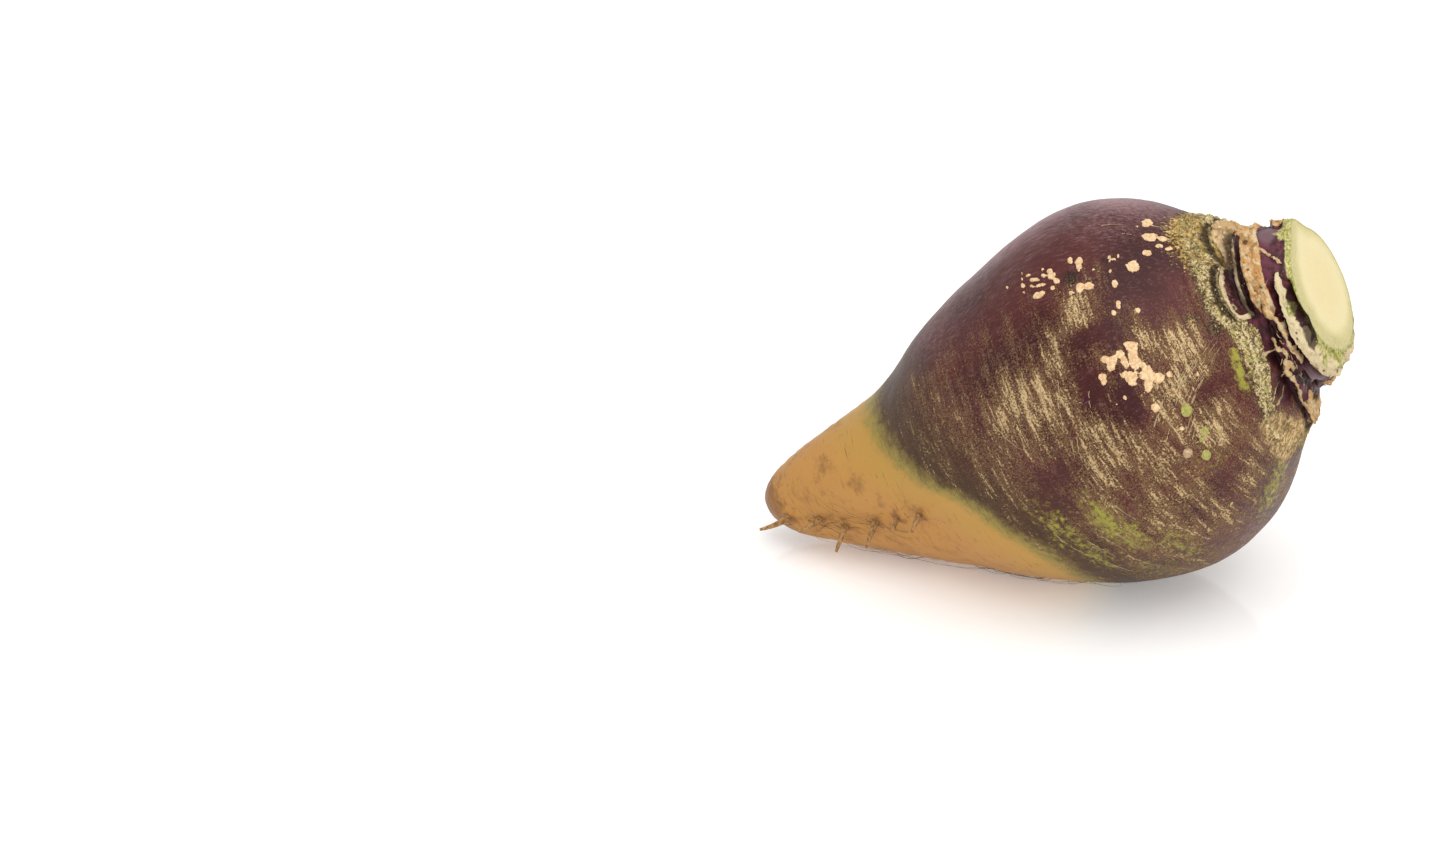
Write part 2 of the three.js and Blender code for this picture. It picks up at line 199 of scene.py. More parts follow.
# Patches on the skin: angle, station, half size round in degrees, half size along, strength.
FLECK_PATCHES = [
    (45, 14.5, 8, 4.5, 1.2), (57, 2.5, 8, 4, 0.9), (58, -13, 6, 6, 1), (66, -11, 9, 9, 1.15),
    (63, -20, 8, 6, 0.9), (69, 2, 8, 4.5, 0.9), (84, 9, 11, 7, 0.8), (91, 1, 12, 8, 0.8),
    (78, -10, 9, 8, 0.8), (99, 16, 12, 9, 0.75), (110, 8, 8, 6, 0.65), (62, 27, 10, 6, 0.8),
    (69, 34, 9, 5, 1), (83, 29, 8, 8, 0.9), (102, 31, 10, 7, 0.9), (118, 14, 13, 12, 0.6),
    (130, 29, 14, 9, 0.75), (75, -25, 8, 8, 0.6), (86, -31, 12, 8, 0.5), (52, -32, 20, 20, 0.35),
    (138, 14, 18, 14, 0.65), (150, 6, 24, 22, 0.55), (190, 20, 26, 16, 0.7), (214, -16, 20, 14, 0.9),
    (246, 24, 22, 12, 0.8), (262, -6, 16, 12, 0.9), (296, 18, 18, 14, 0.6), (318, -20, 14, 12, 0.5),
]
CLEAR_PATCHES = [
    (71.5, 9, 5, 4, 1), (79, 17, 6, 5, 0.8), (44, -21, 12, 16, 0.35), (89, -13, 5, 6, 0.7),
    (97, -20, 6, 6, 0.9), (91, 37, 4, 4, 0.7), (121, 27, 5, 5, 0.6), (55, 14, 2.6, 5, 0.9),
    (57, 21, 5, 3, 0.7), (38, 32, 14, 9, 1), (16, 6, 18, 32, 1), (226, 4, 12, 12, 0.7),
    (280, 4, 12, 14, 0.7),
]
LIME_PATCHES = [
    (109, -9, 12, 5, 1.1), (117, -6, 10, 4.5, 1.1), (121, -20, 12, 5, 0.8), (107, -24, 14, 6, 0.7),
    (131, 3, 14, 6, 0.8), (142, -10, 18, 8, 0.6), (150, 31, 9, 9, 0.9), (86, 44.9, 4, 1.3, 1.2),
    (93, 44, 5, 1.3, 1.3), (100, 43.1, 5, 1.4, 1.2), (82, 38, 5, 3, 0.6), (108, 28, 10, 8, 0.45),
    (60, 47, 6, 2, 0.6), (205, -8, 14, 7, 0.9), (238, 4, 16, 8, 0.7), (286, 32, 12, 7, 0.6),
    (176, 2, 14, 8, 0.7),
]
DARK_PATCHES = [
    (34, 14, 3.6, 2.8, 1), (63, 39.7, 6, 2.4, 0.85), (69.5, 43.6, 6, 2, 0.95), (30, 24.6, 2.2, 1.8, 0.9),
    (58, 43.6, 7, 2.4, 0.6), (104, 36, 1.5, 1.2, 0.5), (240, 38, 12, 3, 0.7), (318, 41, 8, 2, 0.7),
]
# Painted sheen: a lighter mauve laid where light grazes the skin, strongest along the top.
PAINTED_SHEEN_PATCHES = [
    (348, -8, 18, 34, 1.2), (346, 24, 18, 14, 1.1), (12, 24, 9, 9, 0.4), (16, -42, 14, 16, 0.4),
    (290, -10, 24, 30, 0.25), (150, 18, 14, 14, 0.35),
]
GOLD_PATCHES = [
    (8, 45.5, 26, 6, 1), (28, 47.5, 12, 4, 0.8), (350, 49, 20, 4, 0.8), (180, 46, 14, 4, 0.4),
]
SUEDE_PATCHES = [
    (132, 41.8, 11, 3.6, 1), (146, 41.4, 14, 4.8, 1.1), (168, 43, 16, 4.4, 0.8), (250, 44, 26, 4, 0.8),
]
RIM_GREENS = [
    (78, 65.2, 7, 0.7, 1), (131, 65.7, 5, 0.7, 0.9), (158, 65.5, 7, 0.8, 0.9), (8, 65.4, 10, 2, 0.8),
]
COLLAR_PATCHES = [
    (104, 65.2, 9, 1.1, 1), (126, 65.6, 15, 1.7, 1.1), (150, 65.6, 17, 1.9, 1.2),
    (176, 65.4, 15, 1.7, 1.1),
]

# The skin's marks, three to a colour attribute.
MARKS = {
    "growth": ("pale", "fleck", "lime"),
    "neck": ("scars", "grooves", "cork"),
    "crown": ("tint", "rim", "strands"),
    "stain": ("bruise", "lobes", "bare_neck"),
    "shoulder": ("gold", "suede", "ridge"),
    "sheen": ("painted_sheen", "brown", "clear"),
}

# Patterns of the skin: scale, detail, roughness, distortion, and stretch along and round the root.
PATTERNS = {
    "fine": (2.3, 4, 0.7), "mottle": (0.35, 5, 0.65), "lime_blotches": (0.5, 6, 0.75),
    "bruise_streaks": (1, 5, 0.7, 0.6, (1.5, 0.3)), "neck_shades": (0.4, 4, 0.6),
    "skin_grain": (1.2, 5, 0.7), "purple_drift": (0.035, 4), "sheen_streaks": (1, 5, 0.7, 0.3, (0.22, 1.1)),
    "dashes": (1, 3, 0.6, 0.3, (1.3, 0.12)), "rust": (0.16, 5, 0.7),
    "strokes": (1, 3, 0.6, 0.5, (1, 0.15)), "grains": (1.9, 5, 0.78),
    "columns": (1, 3, 0.55, 0.4, (0.3, 0.06)), "pits": (1.6, 4, 0.7, 0.4, (1.4, 0.7)),
    "comb": (1, 4, 0.65, 0.3, (0.28, 1.1)), "coarse_comb": (1, 3, 0.6, 0, (0.3, 1.1)),
    "gold_folds": (0.7, 6, 0.72, 0.5), "bark_folds": (0.3, 4, 0.65, 1.0), "gaps": (0.55, 4, 0.65, 0.6),
    "soft_patches": (0.3, 3), "crumble": (1, 4, 0.7, 0.6, (0.6, 1.2)), "bald": (0.28, 3, 0.6, 0.8),
    "crumbs": (1, 4, 0.7, 0.3, (1.1, 1.7)), "fibres": (1, 4, 0.65, 0.4, (1.7, 0.35)),
    "scar_holes": (0.62, 2, 0.5, 0.5), "scar_hollows": (1, 3, 0.55, 0.3, (0.5, 0.3)),
    "scar_blotches": (0.4, 5, 0.65), "scar_stains": (0.33, 4, 0.6, 0.4), "scar_edges": (0.9, 5, 0.75),
    "rim_specks": (1.1, 4, 0.7), "fuzz": (1.6, 5, 0.75), "flesh_wander": (0.22, 3),
    "pale_grains": (2.1, 3, 0.7), "flesh_grain": (1.1, 5, 0.65), "wrinkles": (1, 3, 0.5, 0, (0.45, 0.05)),
    "flake_patches": (0.35, 3),
}


def random_from(seed):
    """The same random numbers each run, from 0 to 1, as the part's source draws them."""
    while True:
        seed = seed * 16807 % 2147483647
        yield seed / 2147483647


def between(draw, low, high):
    """A random number from low to high."""
    return low + (high - low) * next(draw)


def either_side(draw, most):
    """A random number from -most to most."""
    return between(draw, -most, most)


def rootlets():
    """Angle, station, length and bend of each side root's stub."""
    draw = random_from(SEED)
    found = []
    for row_angle in FURROW_ANGLES:
        for i in range(ROOTLETS_PER_ROW):
            share = (i + between(draw, 0, 0.6)) / ROOTLETS_PER_ROW
            station = ROOTLETS_FROM + (ROOTLETS_TO - ROOTLETS_FROM) * share
            length = ROOTLET_LENGTH * between(draw, 0.55, 1.15) * (1.1 - 0.6 * share)
            angle = row_angle + either_side(draw, 8)
            found.append((angle, station, length, either_side(draw, 12)))
    return found


def smooth(low, high, x):
    """0 up to low, 1 from high on, eased between."""
    s = np.clip((x - low) / (high - low), 0, 1)
    return s * s * (3 - 2 * s)


def bell(x, width):
    """1 where x is 0, falling off over the width."""
    return np.exp(-((x / width) ** 2))


def turn(a, b):
    """Degrees from b to a, from -180 to 180."""
    return (a - b + 180) % 360 - 180


def along(points, x):
    """A smooth curve through points, read at each x."""
    xs, ys = np.array(points, float).T
    last = len(xs) - 1
    before, after = np.maximum(np.arange(last + 1) - 1, 0), np.minimum(np.arange(last + 1) + 1, last)
    slopes = (ys[after] - ys[before]) / (xs[after] - xs[before])
    i = np.clip(np.searchsorted(xs, x) - 1, 0, last - 1)
    width = xs[i + 1] - xs[i]
    s = np.clip((x - xs[i]) / width, 0, 1)
    s2, s3 = s * s, s * s * s
    return (ys[i] * (2 * s3 - 3 * s2 + 1) + ys[i + 1] * (3 * s2 - 2 * s3)
            + width * (slopes[i] * (s3 - 2 * s2 + s) + slopes[i + 1] * (s3 - s2)))


def around(points, angle):
    """A closed smooth line round the root, read at each angle."""
    wrapped = [(a - 360, t) for a, t in points[-3:]] + points + [(a + 360, t) for a, t in points[:3]]
    return along(wrapped, np.mod(angle, 360))


def apart(place, angle, station, radius):
    """How far points are from a place, round the root and along it, in the place's own half sizes."""
    at, where, half_round, half_along = place[:4]
    return np.radians(turn(angle, at)) * radius / half_round, (station - where) / half_along


def bump(place, *points):
    """1 in the middle of a place, falling off over its half sizes."""
    aside, ahead = apart(place, *points)
    return np.exp(-aside ** 2 - ahead ** 2)


def hollow(place, *points):
    """1 on the level bottom of a hollow, with steep sides."""
    return smooth(1.25, 0.7, np.hypot(*apart(place, *points)))


def heights(places, shape, *points):
    """The heights of a table's places, each spread by its shape."""
    return sum(place[4] * shape(place, *points) for place in places)


def crescent(s, a):
    """How full a scar is at a share of its reach, the station of its middle there and half its width."""
    full = np.sqrt(np.clip(1 - a * a, 0, None))
    return full, s.station + s.bow * a * a + s.skew * a, s.band / 2 * (1 + s.widen * a) * (0.35 + 0.65 * full)


def scar_place(s, angle, station):
    """Where points lie in a scar: the share of its reach, how full it is there, and how far across it."""
    a = turn(angle, s.angle) / s.reach
    full, middle, half = crescent(s, a)
    wave = np.radians(angle)
    waver = SCAR_WAVER * np.sin(5 * wave + s.station) * np.cos(3 * wave + s.angle)
    return a, full, (station - middle - waver) / np.maximum(half, 0.2)


def scar_relief(s, angle, station):
    """A shelf over the scar's band, with a notch under it."""
    _, full, across = scar_place(s, angle, station)
    shelf = smooth(-1.5, -0.85, across) * (1 - smooth(0.45, 1.7, across))
    notch = SCAR_NOTCH * bell(across + 2, 0.6) * (s.lift > 0)
    return s.lift * full ** 0.7 * (shelf - notch)


def sunken_middle(s, a, across):
    """1 over the middle of a sunken scar."""
    return s.sunken * smooth(0.66, 0.4, np.abs(across + 0.2)) * smooth(0.92, 0.74, np.abs(a))


def strand_marks(s, a, across):
    """Uneven pits on a scar, where the leaf's strands went through."""
    draw = random_from(SEED + int(10 * s.angle + s.station))
    found = np.zeros_like(a)
    for place in STRAND_SHARES:
        size = between(draw, 0.45, 1.2)
        reach = size / (s.reach * math.radians(1) * NECK_RADIUS)
        at, off = place + either_side(draw, 0.1), either_side(draw, 0.35)
        width = 1.6 * size / s.band
        found = np.maximum(found, bell(a - at, reach) * bell(across - off, width))
    return found


def cork_cover(angle, station):
    """How thick the cork plates stand on the shoulder, and the bright ridge that edges them."""
    cover = smooth(-2.4, 2, station - around(CORK_LOW, angle))
    cover = cover * smooth(0.8, -0.4, station - around(CORK_HIGH, angle))
    return cover, bell(station - around(SHOULDER_RIDGE, angle) + 0.2, 0.75)


def cork_relief(angle, station):
    """The swollen rolls of the corky shoulder."""
    wave = np.radians(angle)
    sway = CORK_SWAY * (0.6 * np.cos(wave - 1.5) + 0.4 * np.cos(3 * wave + 0.8))
    across = (station - CORK_STATION - sway) / CORK_HALF
    roll = 0.5 + 0.5 * np.cos(math.pi * CORK_ROLLS * across + 1.3 * np.cos(7 * wave))
    return CORK_LIFT * smooth(1.15, 0.75, np.abs(across)) * (0.45 + 0.55 * roll)


def furrow_relief(angle, station, radius):
    """The two furrows of the tap root."""
    inside = smooth(FURROW_FROM, FURROW_FROM + 10, station) * smooth(FURROW_TO, FURROW_TO - 30, station)
    nearest = np.minimum(*[np.abs(turn(angle, f)) for f in FURROW_ANGLES])
    return -FURROW_DEPTH * inside * bell(np.radians(nearest) * radius, FURROW_HALF)


def behind_rim(station):
    """1 on the neck, falling to 0 at the edge of the cut."""
    return smooth(FACE_STATION, FACE_STATION - RIM_FADE, station)


def skin_radius(angle, station):
    """Radius of the skin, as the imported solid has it."""
    base = along(PROFILE, station)
    fade = smooth(ROOT_END, -100, station) * smooth(FACE_STATION, 55, station)
    swell = sum(share * np.cos(waves * np.radians(angle) + drift * station + phase)
                for share, waves, drift, phase in SWELLINGS)
    scars = sum(scar_relief(s, angle, station) for s in LEAF_SCARS)
    crevices = sum(scar_relief(c, angle, station) for c in CREVICES)
    dents = heights(DENTS, bump, angle, station, base)
    bark = cork_relief(angle, station) + furrow_relief(angle, station, base)
    relief = scars * behind_rim(station) + crevices + dents + bark
    return base * (1 + fade * swell) + relief * smooth(0, 8, base)


def section_point(angle, station, radius):
    """Points in the part's frame, in metres, at a radius from the bending middle of their sections."""
    up, front = radius * np.cos(np.radians(angle)), radius * np.sin(np.radians(angle))
    lean = smooth(LEAN_FROM, FACE_STATION, station) * (FACE_LEAN_UP * up + FACE_LEAN_FRONT * front)
    x, y, z = station + lean, along(BEND_SIDE, station) - front, along(BEND_UP, station) + up
    c, s = math.cos(LIE_TILT), math.sin(LIE_TILT)
    return np.stack([x * c - z * s - REST_SHIFT, y, x * s + z * c + REST_DEPTH], -1) * MM


def surface(angle, station):
    """Points of the skin with their outward normals."""
    angle, station = np.asarray(angle, float), np.asarray(station, float)
    at = lambda a, s: section_point(a, s, skin_radius(a, s))
    round_ = at(angle + SLOPE_ANGLE, station) - at(angle - SLOPE_ANGLE, station)
    ahead = at(angle, station + SLOPE_STATION) - at(angle, station - SLOPE_STATION)
    normal = np.cross(round_, ahead)
    return at(angle, station), normal / np.linalg.norm(normal, axis=-1, keepdims=True)


def over_skin(angle, station, height):
    """Points that stand a height in mm over the skin."""
    points, normals = surface(angle, station)
    return points + normals * (height * MM)[:, None]


def fine_relief(*points):
    """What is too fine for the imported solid: lips and pits on the scars, strips, folds and collars."""
    angle, station, _ = points
    lips, pits = np.zeros((2, *angle.shape))
    for s in LEAF_SCARS:
        a, full, across = scar_place(s, angle, station)
        lips += LIP_HEIGHT * full * (bell(across + 0.85, 0.2) + 0.6 * bell(across - 0.75, 0.25))
        lips -= SUNKEN_DEPTH * sunken_middle(s, a, across)
        pits = np.maximum(pits, strand_marks(s, a, across))
    collars = sum(ROOT_COLLAR * bump((a, t, 3.2, 2.4), *points) for a, t, _, _ in rootlets())
    folds = heights([BUD_HOLE, *FOLDS], bump, *points) + heights(WINDOWS, hollow, *points)
    folds = folds + BUD_RING_HEIGHT * bud_ring(*points) + strip_cover(angle, station)[1]
    scars = (lips - PIT_DEPTH * pits) * behind_rim(station)
    return scars + collars + folds + RIDGE_HEIGHT * cork_cover(angle, station)[1]


def strip_cover(angle, station):
    """How near points are to a strip between hollows, from 0 to 1, and how high the strips stand there."""
    cover, height = np.zeros((2, *angle.shape))
    near = station > STRIPS_FROM
    a, t = angle[near], station[near]
    for half, lift, *places in STRIPS:
        at = np.linspace(0, len(places) - 1, 9 * len(places))
        line = [along([(i, place[k]) for i, place in enumerate(places)], at) for k in (0, 1)]
        halves = half * (1 + 0.35 * np.sin(3.1 * at + half) + 0.25 * np.sin(7.3 * at))
        far = np.full_like(a, 9.0)
        for line_angle, line_station, width in zip(*line, halves):
            aside = np.radians(turn(a, line_angle)) * 1.15 * NECK_RADIUS
            far = np.minimum(far, np.hypot(aside, t - line_station) / width)
        found = bell(far, 1)
        cover[near] = np.maximum(cover[near], found)
        height[near] = np.maximum(height[near], lift * found)
    return cover, height


def bud_ring(*points):
    """A raised ring round the bud's hole, open on one side."""
    far = np.hypot(*apart(BUD_HOLE, *points))
    return bell(far - BUD_RING, BUD_RING_WIDTH) * smooth(0, 3, np.abs(turn(BUD_HOLE[0], points[0])))


def patches(table, angle, station):
    """The strongest of a table's patches at each point, each fading out at its edge."""
    found = np.zeros_like(angle)
    for at, where, half_round, half_along, strength in table:
        far = (turn(angle, at) / half_round) ** 2 + ((station - where) / half_along) ** 2
        found = np.maximum(found, strength * np.exp(-0.7 * far))
    return found


def scar_marks(*points):
    """Where the neck has scar tissue, grooves that take painted shade, strand pits and lobes, and how tan the
    tissue is.
    """
    angle, station, _ = points
    scars, grooves, strands, lobes = np.zeros((4, *angle.shape))
    tint = np.full_like(angle, 0.5)
    for s in LEAF_SCARS:
        a, full, across = scar_place(s, angle, station)
        kept = 2 * s.bare
        band = smooth(-1.2, -0.9, across) * (1 - smooth(0.75 - kept, 1.1 - kept, across))
        band = band * smooth(0, 0.4, full)
        band = band * (1 - 0.95 * sunken_middle(s, a, across))
        tint = np.where(band > scars, s.tint, tint)
        scars = np.maximum(scars, band)
        strands = np.maximum(strands, strand_marks(s, a, across) * band)
        grooves = np.maximum(grooves, bell(across + 1.9, 0.55) * smooth(0.1, 0.5, full))
    for c in CREVICES:
        _, full, across = scar_place(c, angle, station)
        gap = smooth(-1.4, -0.8, across) * (1 - smooth(0.8, 1.4, across)) * smooth(0, 0.4, full)
        scars = scars * (1 - gap)
        grooves = np.maximum(grooves, gap)
    for dent in DENTS:
        if dent[1] > NECK_FROM and dent[4] < 0:
            grooves = np.maximum(grooves, 0.75 * bump(dent, *points))
        elif dent[1] > NECK_FROM and dent is not RIM_KNOB:
            lobes = np.maximum(lobes, bump(dent, *points))
    return scars, grooves, strands, lobes, tint


def skin_marks(*points):
    """What grew where, as numbers from 0 to 1 for each point of the skin."""
    angle, station, _ = points
    scars, grooves, strands, lobes, tint = scar_marks(*points)
    windows = np.max([hollow(window, *points) for window in WINDOWS], axis=0)
    strips = smooth(0.2, 0.6, strip_cover(angle, station)[0])
    # Windows and the bud's hole count as grooves, so the painted shade darkens them too.
    grooves = np.maximum.reduce([grooves, 0.62 * windows, bump(BUD_HOLE, *points)]) * (1 - strips)
    scars = np.maximum.reduce([scars, strips, 0.85 * bud_ring(*points)])
    collar = smooth(0.4, 0.75, patches(COLLAR_PATCHES, angle, station))
    tint = np.where(collar > scars, 0.2, tint)
    scars = np.maximum(scars, collar)
    gold, suede = (patches(table, angle, station) for table in (GOLD_PATCHES, SUEDE_PATCHES))
    suede = suede * (1 - windows)
    cork, ridge = cork_cover(angle, station)
    cork = cork * (1 - 0.85 * scars) * (1 - np.minimum(0.85 * suede, 1)) * (1 - 0.6 * gold) * (1 - windows)
    knob = bump(RIM_KNOB, *points) * smooth(64, 65.4, station)
    shaded = smooth(34, 80, angle) * smooth(214, 186, angle)
    rim = smooth(FACE_STATION - 2.2, FACE_STATION - 0.6, station) * (1 - 0.3 * shaded)
    brown = [0.9 * bump((a, t, 3.4, 2.4), *points) for a, t, _, _ in rootlets()]
    return {
        "pale": (around(PALE_EDGE, angle) + PALE_LEAD - station) / PALE_FADE,
        "fleck": patches(FLECK_PATCHES, angle, station),
        "lime": patches(LIME_PATCHES, angle, station),
        "scars": scars,
        "grooves": grooves,
        "cork": cork,
        "tint": tint,
        "rim": np.maximum.reduce([rim, knob, patches(RIM_GREENS, angle, station)]),
        "strands": strands,
        "bruise": patches(DARK_PATCHES, angle, station),
        "lobes": lobes,
        "bare_neck": np.maximum(smooth(46, 54, station), windows),
        "gold": gold,
        "suede": suede,
        "ridge": ridge * (1 - scars) * smooth(140, 112, np.abs(turn(angle, 20))),
        "painted_sheen": patches(PAINTED_SHEEN_PATCHES, angle, station),
        "brown": np.maximum.reduce([smooth(-101, -119, station), *brown]),
        "clear": patches(CLEAR_PATCHES, angle, station),
    }


def row_stations():
    rows = []
    for start, end, step in ROW_STRETCHES:
        count = math.ceil((end - start) / step)
        rows += [start + (end - start) * i / count for i in range(count)]
    return rows + [FACE_STATION]


def mesh_of(name, points, faces, edges=()):
    mesh = bpy.data.meshes.new(name)
    mesh.from_pydata([tuple(p) for p in points], edges, faces)
    mesh.update()
    mesh.shade_smooth()
    return mesh


def store(mesh, name, kind, values):
    """Keeps one value for each vertex under a name that node trees read."""
    layer = mesh.attributes.new(name, kind, "POINT")
    field = {"FLOAT": "value", "FLOAT_VECTOR": "vector", "FLOAT_COLOR": "color"}[kind]
    layer.data.foreach_set(field, np.asarray(values, np.float32).ravel())


def skin_mesh():
    """The skin as one closed mesh, in rows of points from the root's tip to the middle of the cut."""
    outer = [(s, 1.0) for s in row_stations()] + [(FACE_STATION, share) for share in FACE_SHARES]
    rows = len(outer)
    station, share = (np.array(v)[:, None] * np.ones(COLUMNS) for v in zip(*outer))
    angle = np.ones_like(station) * np.arange(COLUMNS) * 360 / COLUMNS
    base = along(PROFILE, station)
    radius = (skin_radius(angle, station) + fine_relief(angle, station, base)) * share
    tip, middle = (section_point(0.0, s, 0.0) for s in (ROOT_END, FACE_STATION))
    points = np.vstack([tip, section_point(angle, station, radius).reshape(-1, 3), middle])
    points[:, 2] = np.maximum(points[:, 2], 0)

    at = lambda row, column: 1 + row * COLUMNS + column % COLUMNS
    faces = [(0, at(0, i + 1), at(0, i)) for i in range(COLUMNS)]
    for r in range(rows - 1):
        faces += [(at(r, i), at(r, i + 1), at(r + 1, i + 1), at(r + 1, i)) for i in range(COLUMNS)]
    faces += [(len(points) - 1, at(rows - 1, i), at(rows - 1, i + 1)) for i in range(COLUMNS)]
    mesh = mesh_of("rutabaga_skin", points, faces)

    with_ends = lambda v, first, last: np.concatenate([[first], np.ravel(v), [last]])
    marks = skin_marks(angle, station, base)
    for name, keys in MARKS.items():
        columns = [with_ends(marks[key], marks[key][0, 0], marks[key][-1, 0]) for key in keys]
        store(mesh, name, "FLOAT_COLOR", np.stack(columns + [np.ones(len(points))], -1))
    steps = np.hypot(np.diff(station[:, 0]), np.diff(radius.mean(1)))
    run = np.concatenate([[0], np.cumsum(steps)])[:, None] * np.ones(COLUMNS)
    wave, reach = np.radians(angle), np.maximum(base * share, 4)
    skin = [with_ends(v, v[0, 0], v[-1, 0]) for v in (run, reach * np.sin(wave), reach * np.cos(wave))]
    store(mesh, "skin", "FLOAT_VECTOR", np.stack(skin, -1))
    on_face = station >= FACE_STATION
    store(mesh, "cut", "FLOAT", with_ends(np.where(on_face, share, 2), 2, 0))
    heart = np.hypot(share * np.cos(wave) - HEART_UP, share * np.sin(wave) - HEART_FRONT)
    heart = with_ends(np.where(on_face, heart, 2), 2, math.hypot(HEART_UP, HEART_FRONT))
    store(mesh, "heart", "FLOAT", heart)
    return mesh


# ---- Node trees -------------------------------------------------------------------------------------------


def tone(hex_colour):
    """A display colour as the scene-linear one that Blender keeps."""
    parts = [int(hex_colour[i:i + 2], 16) / 255 for i in (0, 2, 4)]
    return tuple(p / 12.92 if p <= 0.04045 else ((p + 0.055) / 1.055) ** 2.4 for p in parts)


class Wire:
    """A node's output. A sum, difference or product with it adds a maths node."""

    def __init__(self, nodes, socket):
        self.nodes, self.socket = nodes, socket

    def __add__(self, other):
        return self.nodes.math("ADD", self, other)

    def __sub__(self, other):
        return self.nodes.math("SUBTRACT", self, other)

    def __rsub__(self, other):
        return self.nodes.math("SUBTRACT", other, self)

    def __mul__(self, other):
        return self.nodes.math("MULTIPLY", self, other)


class Nodes:
    """A node tree, written as one call for each node."""

    def __init__(self, tree):
        self.tree = tree

    def add(self, kind, inputs=None, output=0, **settings):
        """Makes a node and gives one of its outputs, or a list of them where output is a tuple."""
        node = self.tree.nodes.new(kind)
        for key, value in settings.items():
            setattr(node, key, value)
        for key, value in (inputs or {}).items():
            if value is not None:
                self.feed(node.inputs[key], value)
        if isinstance(output, tuple):
            return [Wire(self, node.outputs[key]) for key in output]
        return Wire(self, node.outputs[output])

    def feed(self, socket, value):
        if isinstance(value, Wire):
            self.tree.links.new(value.socket, socket)
        else:
            socket.default_value = (*value, 1) if socket.type == "RGBA" and len(value) == 3 else value

    def math(self, operation, a, b, clamp=False):
        return self.add("ShaderNodeMath", {0: a, 1: b}, operation=operation, use_clamp=clamp)

    def most(self, first, *others):
        """The largest of some numbers."""
        for other in others:
            first = self.math("MAXIMUM", first, other)
        return first

    def vector_sum(self, a, b):
        return self.add("ShaderNodeVectorMath", {0: a, 1: b})

    def scaled(self, vector, scale):
        return self.add("ShaderNodeVectorMath", {0: vector, "Scale": scale}, operation="SCALE")

    def ramp(self, value, low, high, to_low=0.0, to_high=1.0):
        """to_low up to low, to_high from high on, eased between."""
        inputs = {"Value": value, 1: low, 2: high, 3: to_low, 4: to_high}
        return self.add("ShaderNodeMapRange", inputs, interpolation_type="SMOOTHSTEP")

    def mix(self, share, under, over):
        return self.add("ShaderNodeMix", {0: share, 6: under, 7: over}, 2, data_type="RGBA")

    def coat(self, under, over, amount, low, high, most=1.0):
        """Lays a colour over another: none where the amount is below low, and its most from high on."""
        return self.mix(self.ramp(amount, low, high, 0.0, most), under, over)

    def coats(self, colour, *rows):
        """Lays one coat after the other, each a row of over, amount, low, high and most."""
        for row in rows:
            colour = self.coat(colour, *row)
        return colour

    def mixed(self, colour, *rows):
        """Mixes in one colour after the other, each a row of share and colour."""
        for share, over in rows:
            colour = self.mix(share, colour, over)
        return colour

    def noise(self, vector, scale, detail=3.0, roughness=0.55, distortion=0.0, stretch=None, output=0):
        """Noise from 0 to 1. Its features are about 1 / scale wide, and longer where the stretch is small."""
        if stretch:
            lengthways, round_ = stretch
            factors = (lengthways, round_, round_)
            vector = self.add("ShaderNodeVectorMath", {0: vector, 1: factors}, operation="MULTIPLY")
        return self.add("ShaderNodeTexNoise", {
            "Vector": vector,
            "Scale": scale,
            "Detail": detail,
            "Roughness": roughness,
            "Distortion": distortion}, output)

    @cache
    def pattern(self, name):
        return self.noise(self.skin(), *PATTERNS[name])

    def swirl(self, vector, scale, detail, roughness):
        """A wandering vector with parts from -0.5 to 0.5."""
        colour = self.noise(vector, scale, detail, roughness, output="Color")
        return self.vector_sum(colour, (-0.5, -0.5, -0.5))

    @cache
    def mark(self, name):
        for layer, keys in MARKS.items():
            if name in keys:
                return self.channels(layer)[keys.index(name)]


class Finish(Nodes):
    """A material's tree, round one Principled shader."""

    def __init__(self, name, **shader):
        self.material = bpy.data.materials.new(name)
        self.material.use_nodes = True
        super().__init__(self.material.node_tree)
        self.shader = self.tree.nodes["Principled BSDF"]
        for key, value in shader.items():
            self.set(key.replace("_", " "), value)

    def set(self, name, value):
        self.feed(self.shader.inputs[name], value)

    def attribute(self, name, output="Fac"):
        return self.add("ShaderNodeAttribute", output=output, attribute_name=name)

    @cache
    def skin(self):
        return self.attribute("skin", "Vector")

    @cache
    def channels(self, name):
        return self.add("ShaderNodeSeparateColor", {"Color": self.attribute(name, "Color")}, (0, 1, 2))

    def place_mm(self):
        return self.scaled(self.add("ShaderNodeTexCoord", output="Object"), 1 / MM)

    def relief(self, height, distance):
        """Shades the surface as if it stood out by the height times the distance."""
        inputs = {"Height": height, "Distance": distance, "Strength": 1.0}
        self.set("Normal", self.add("ShaderNodeBump", inputs))


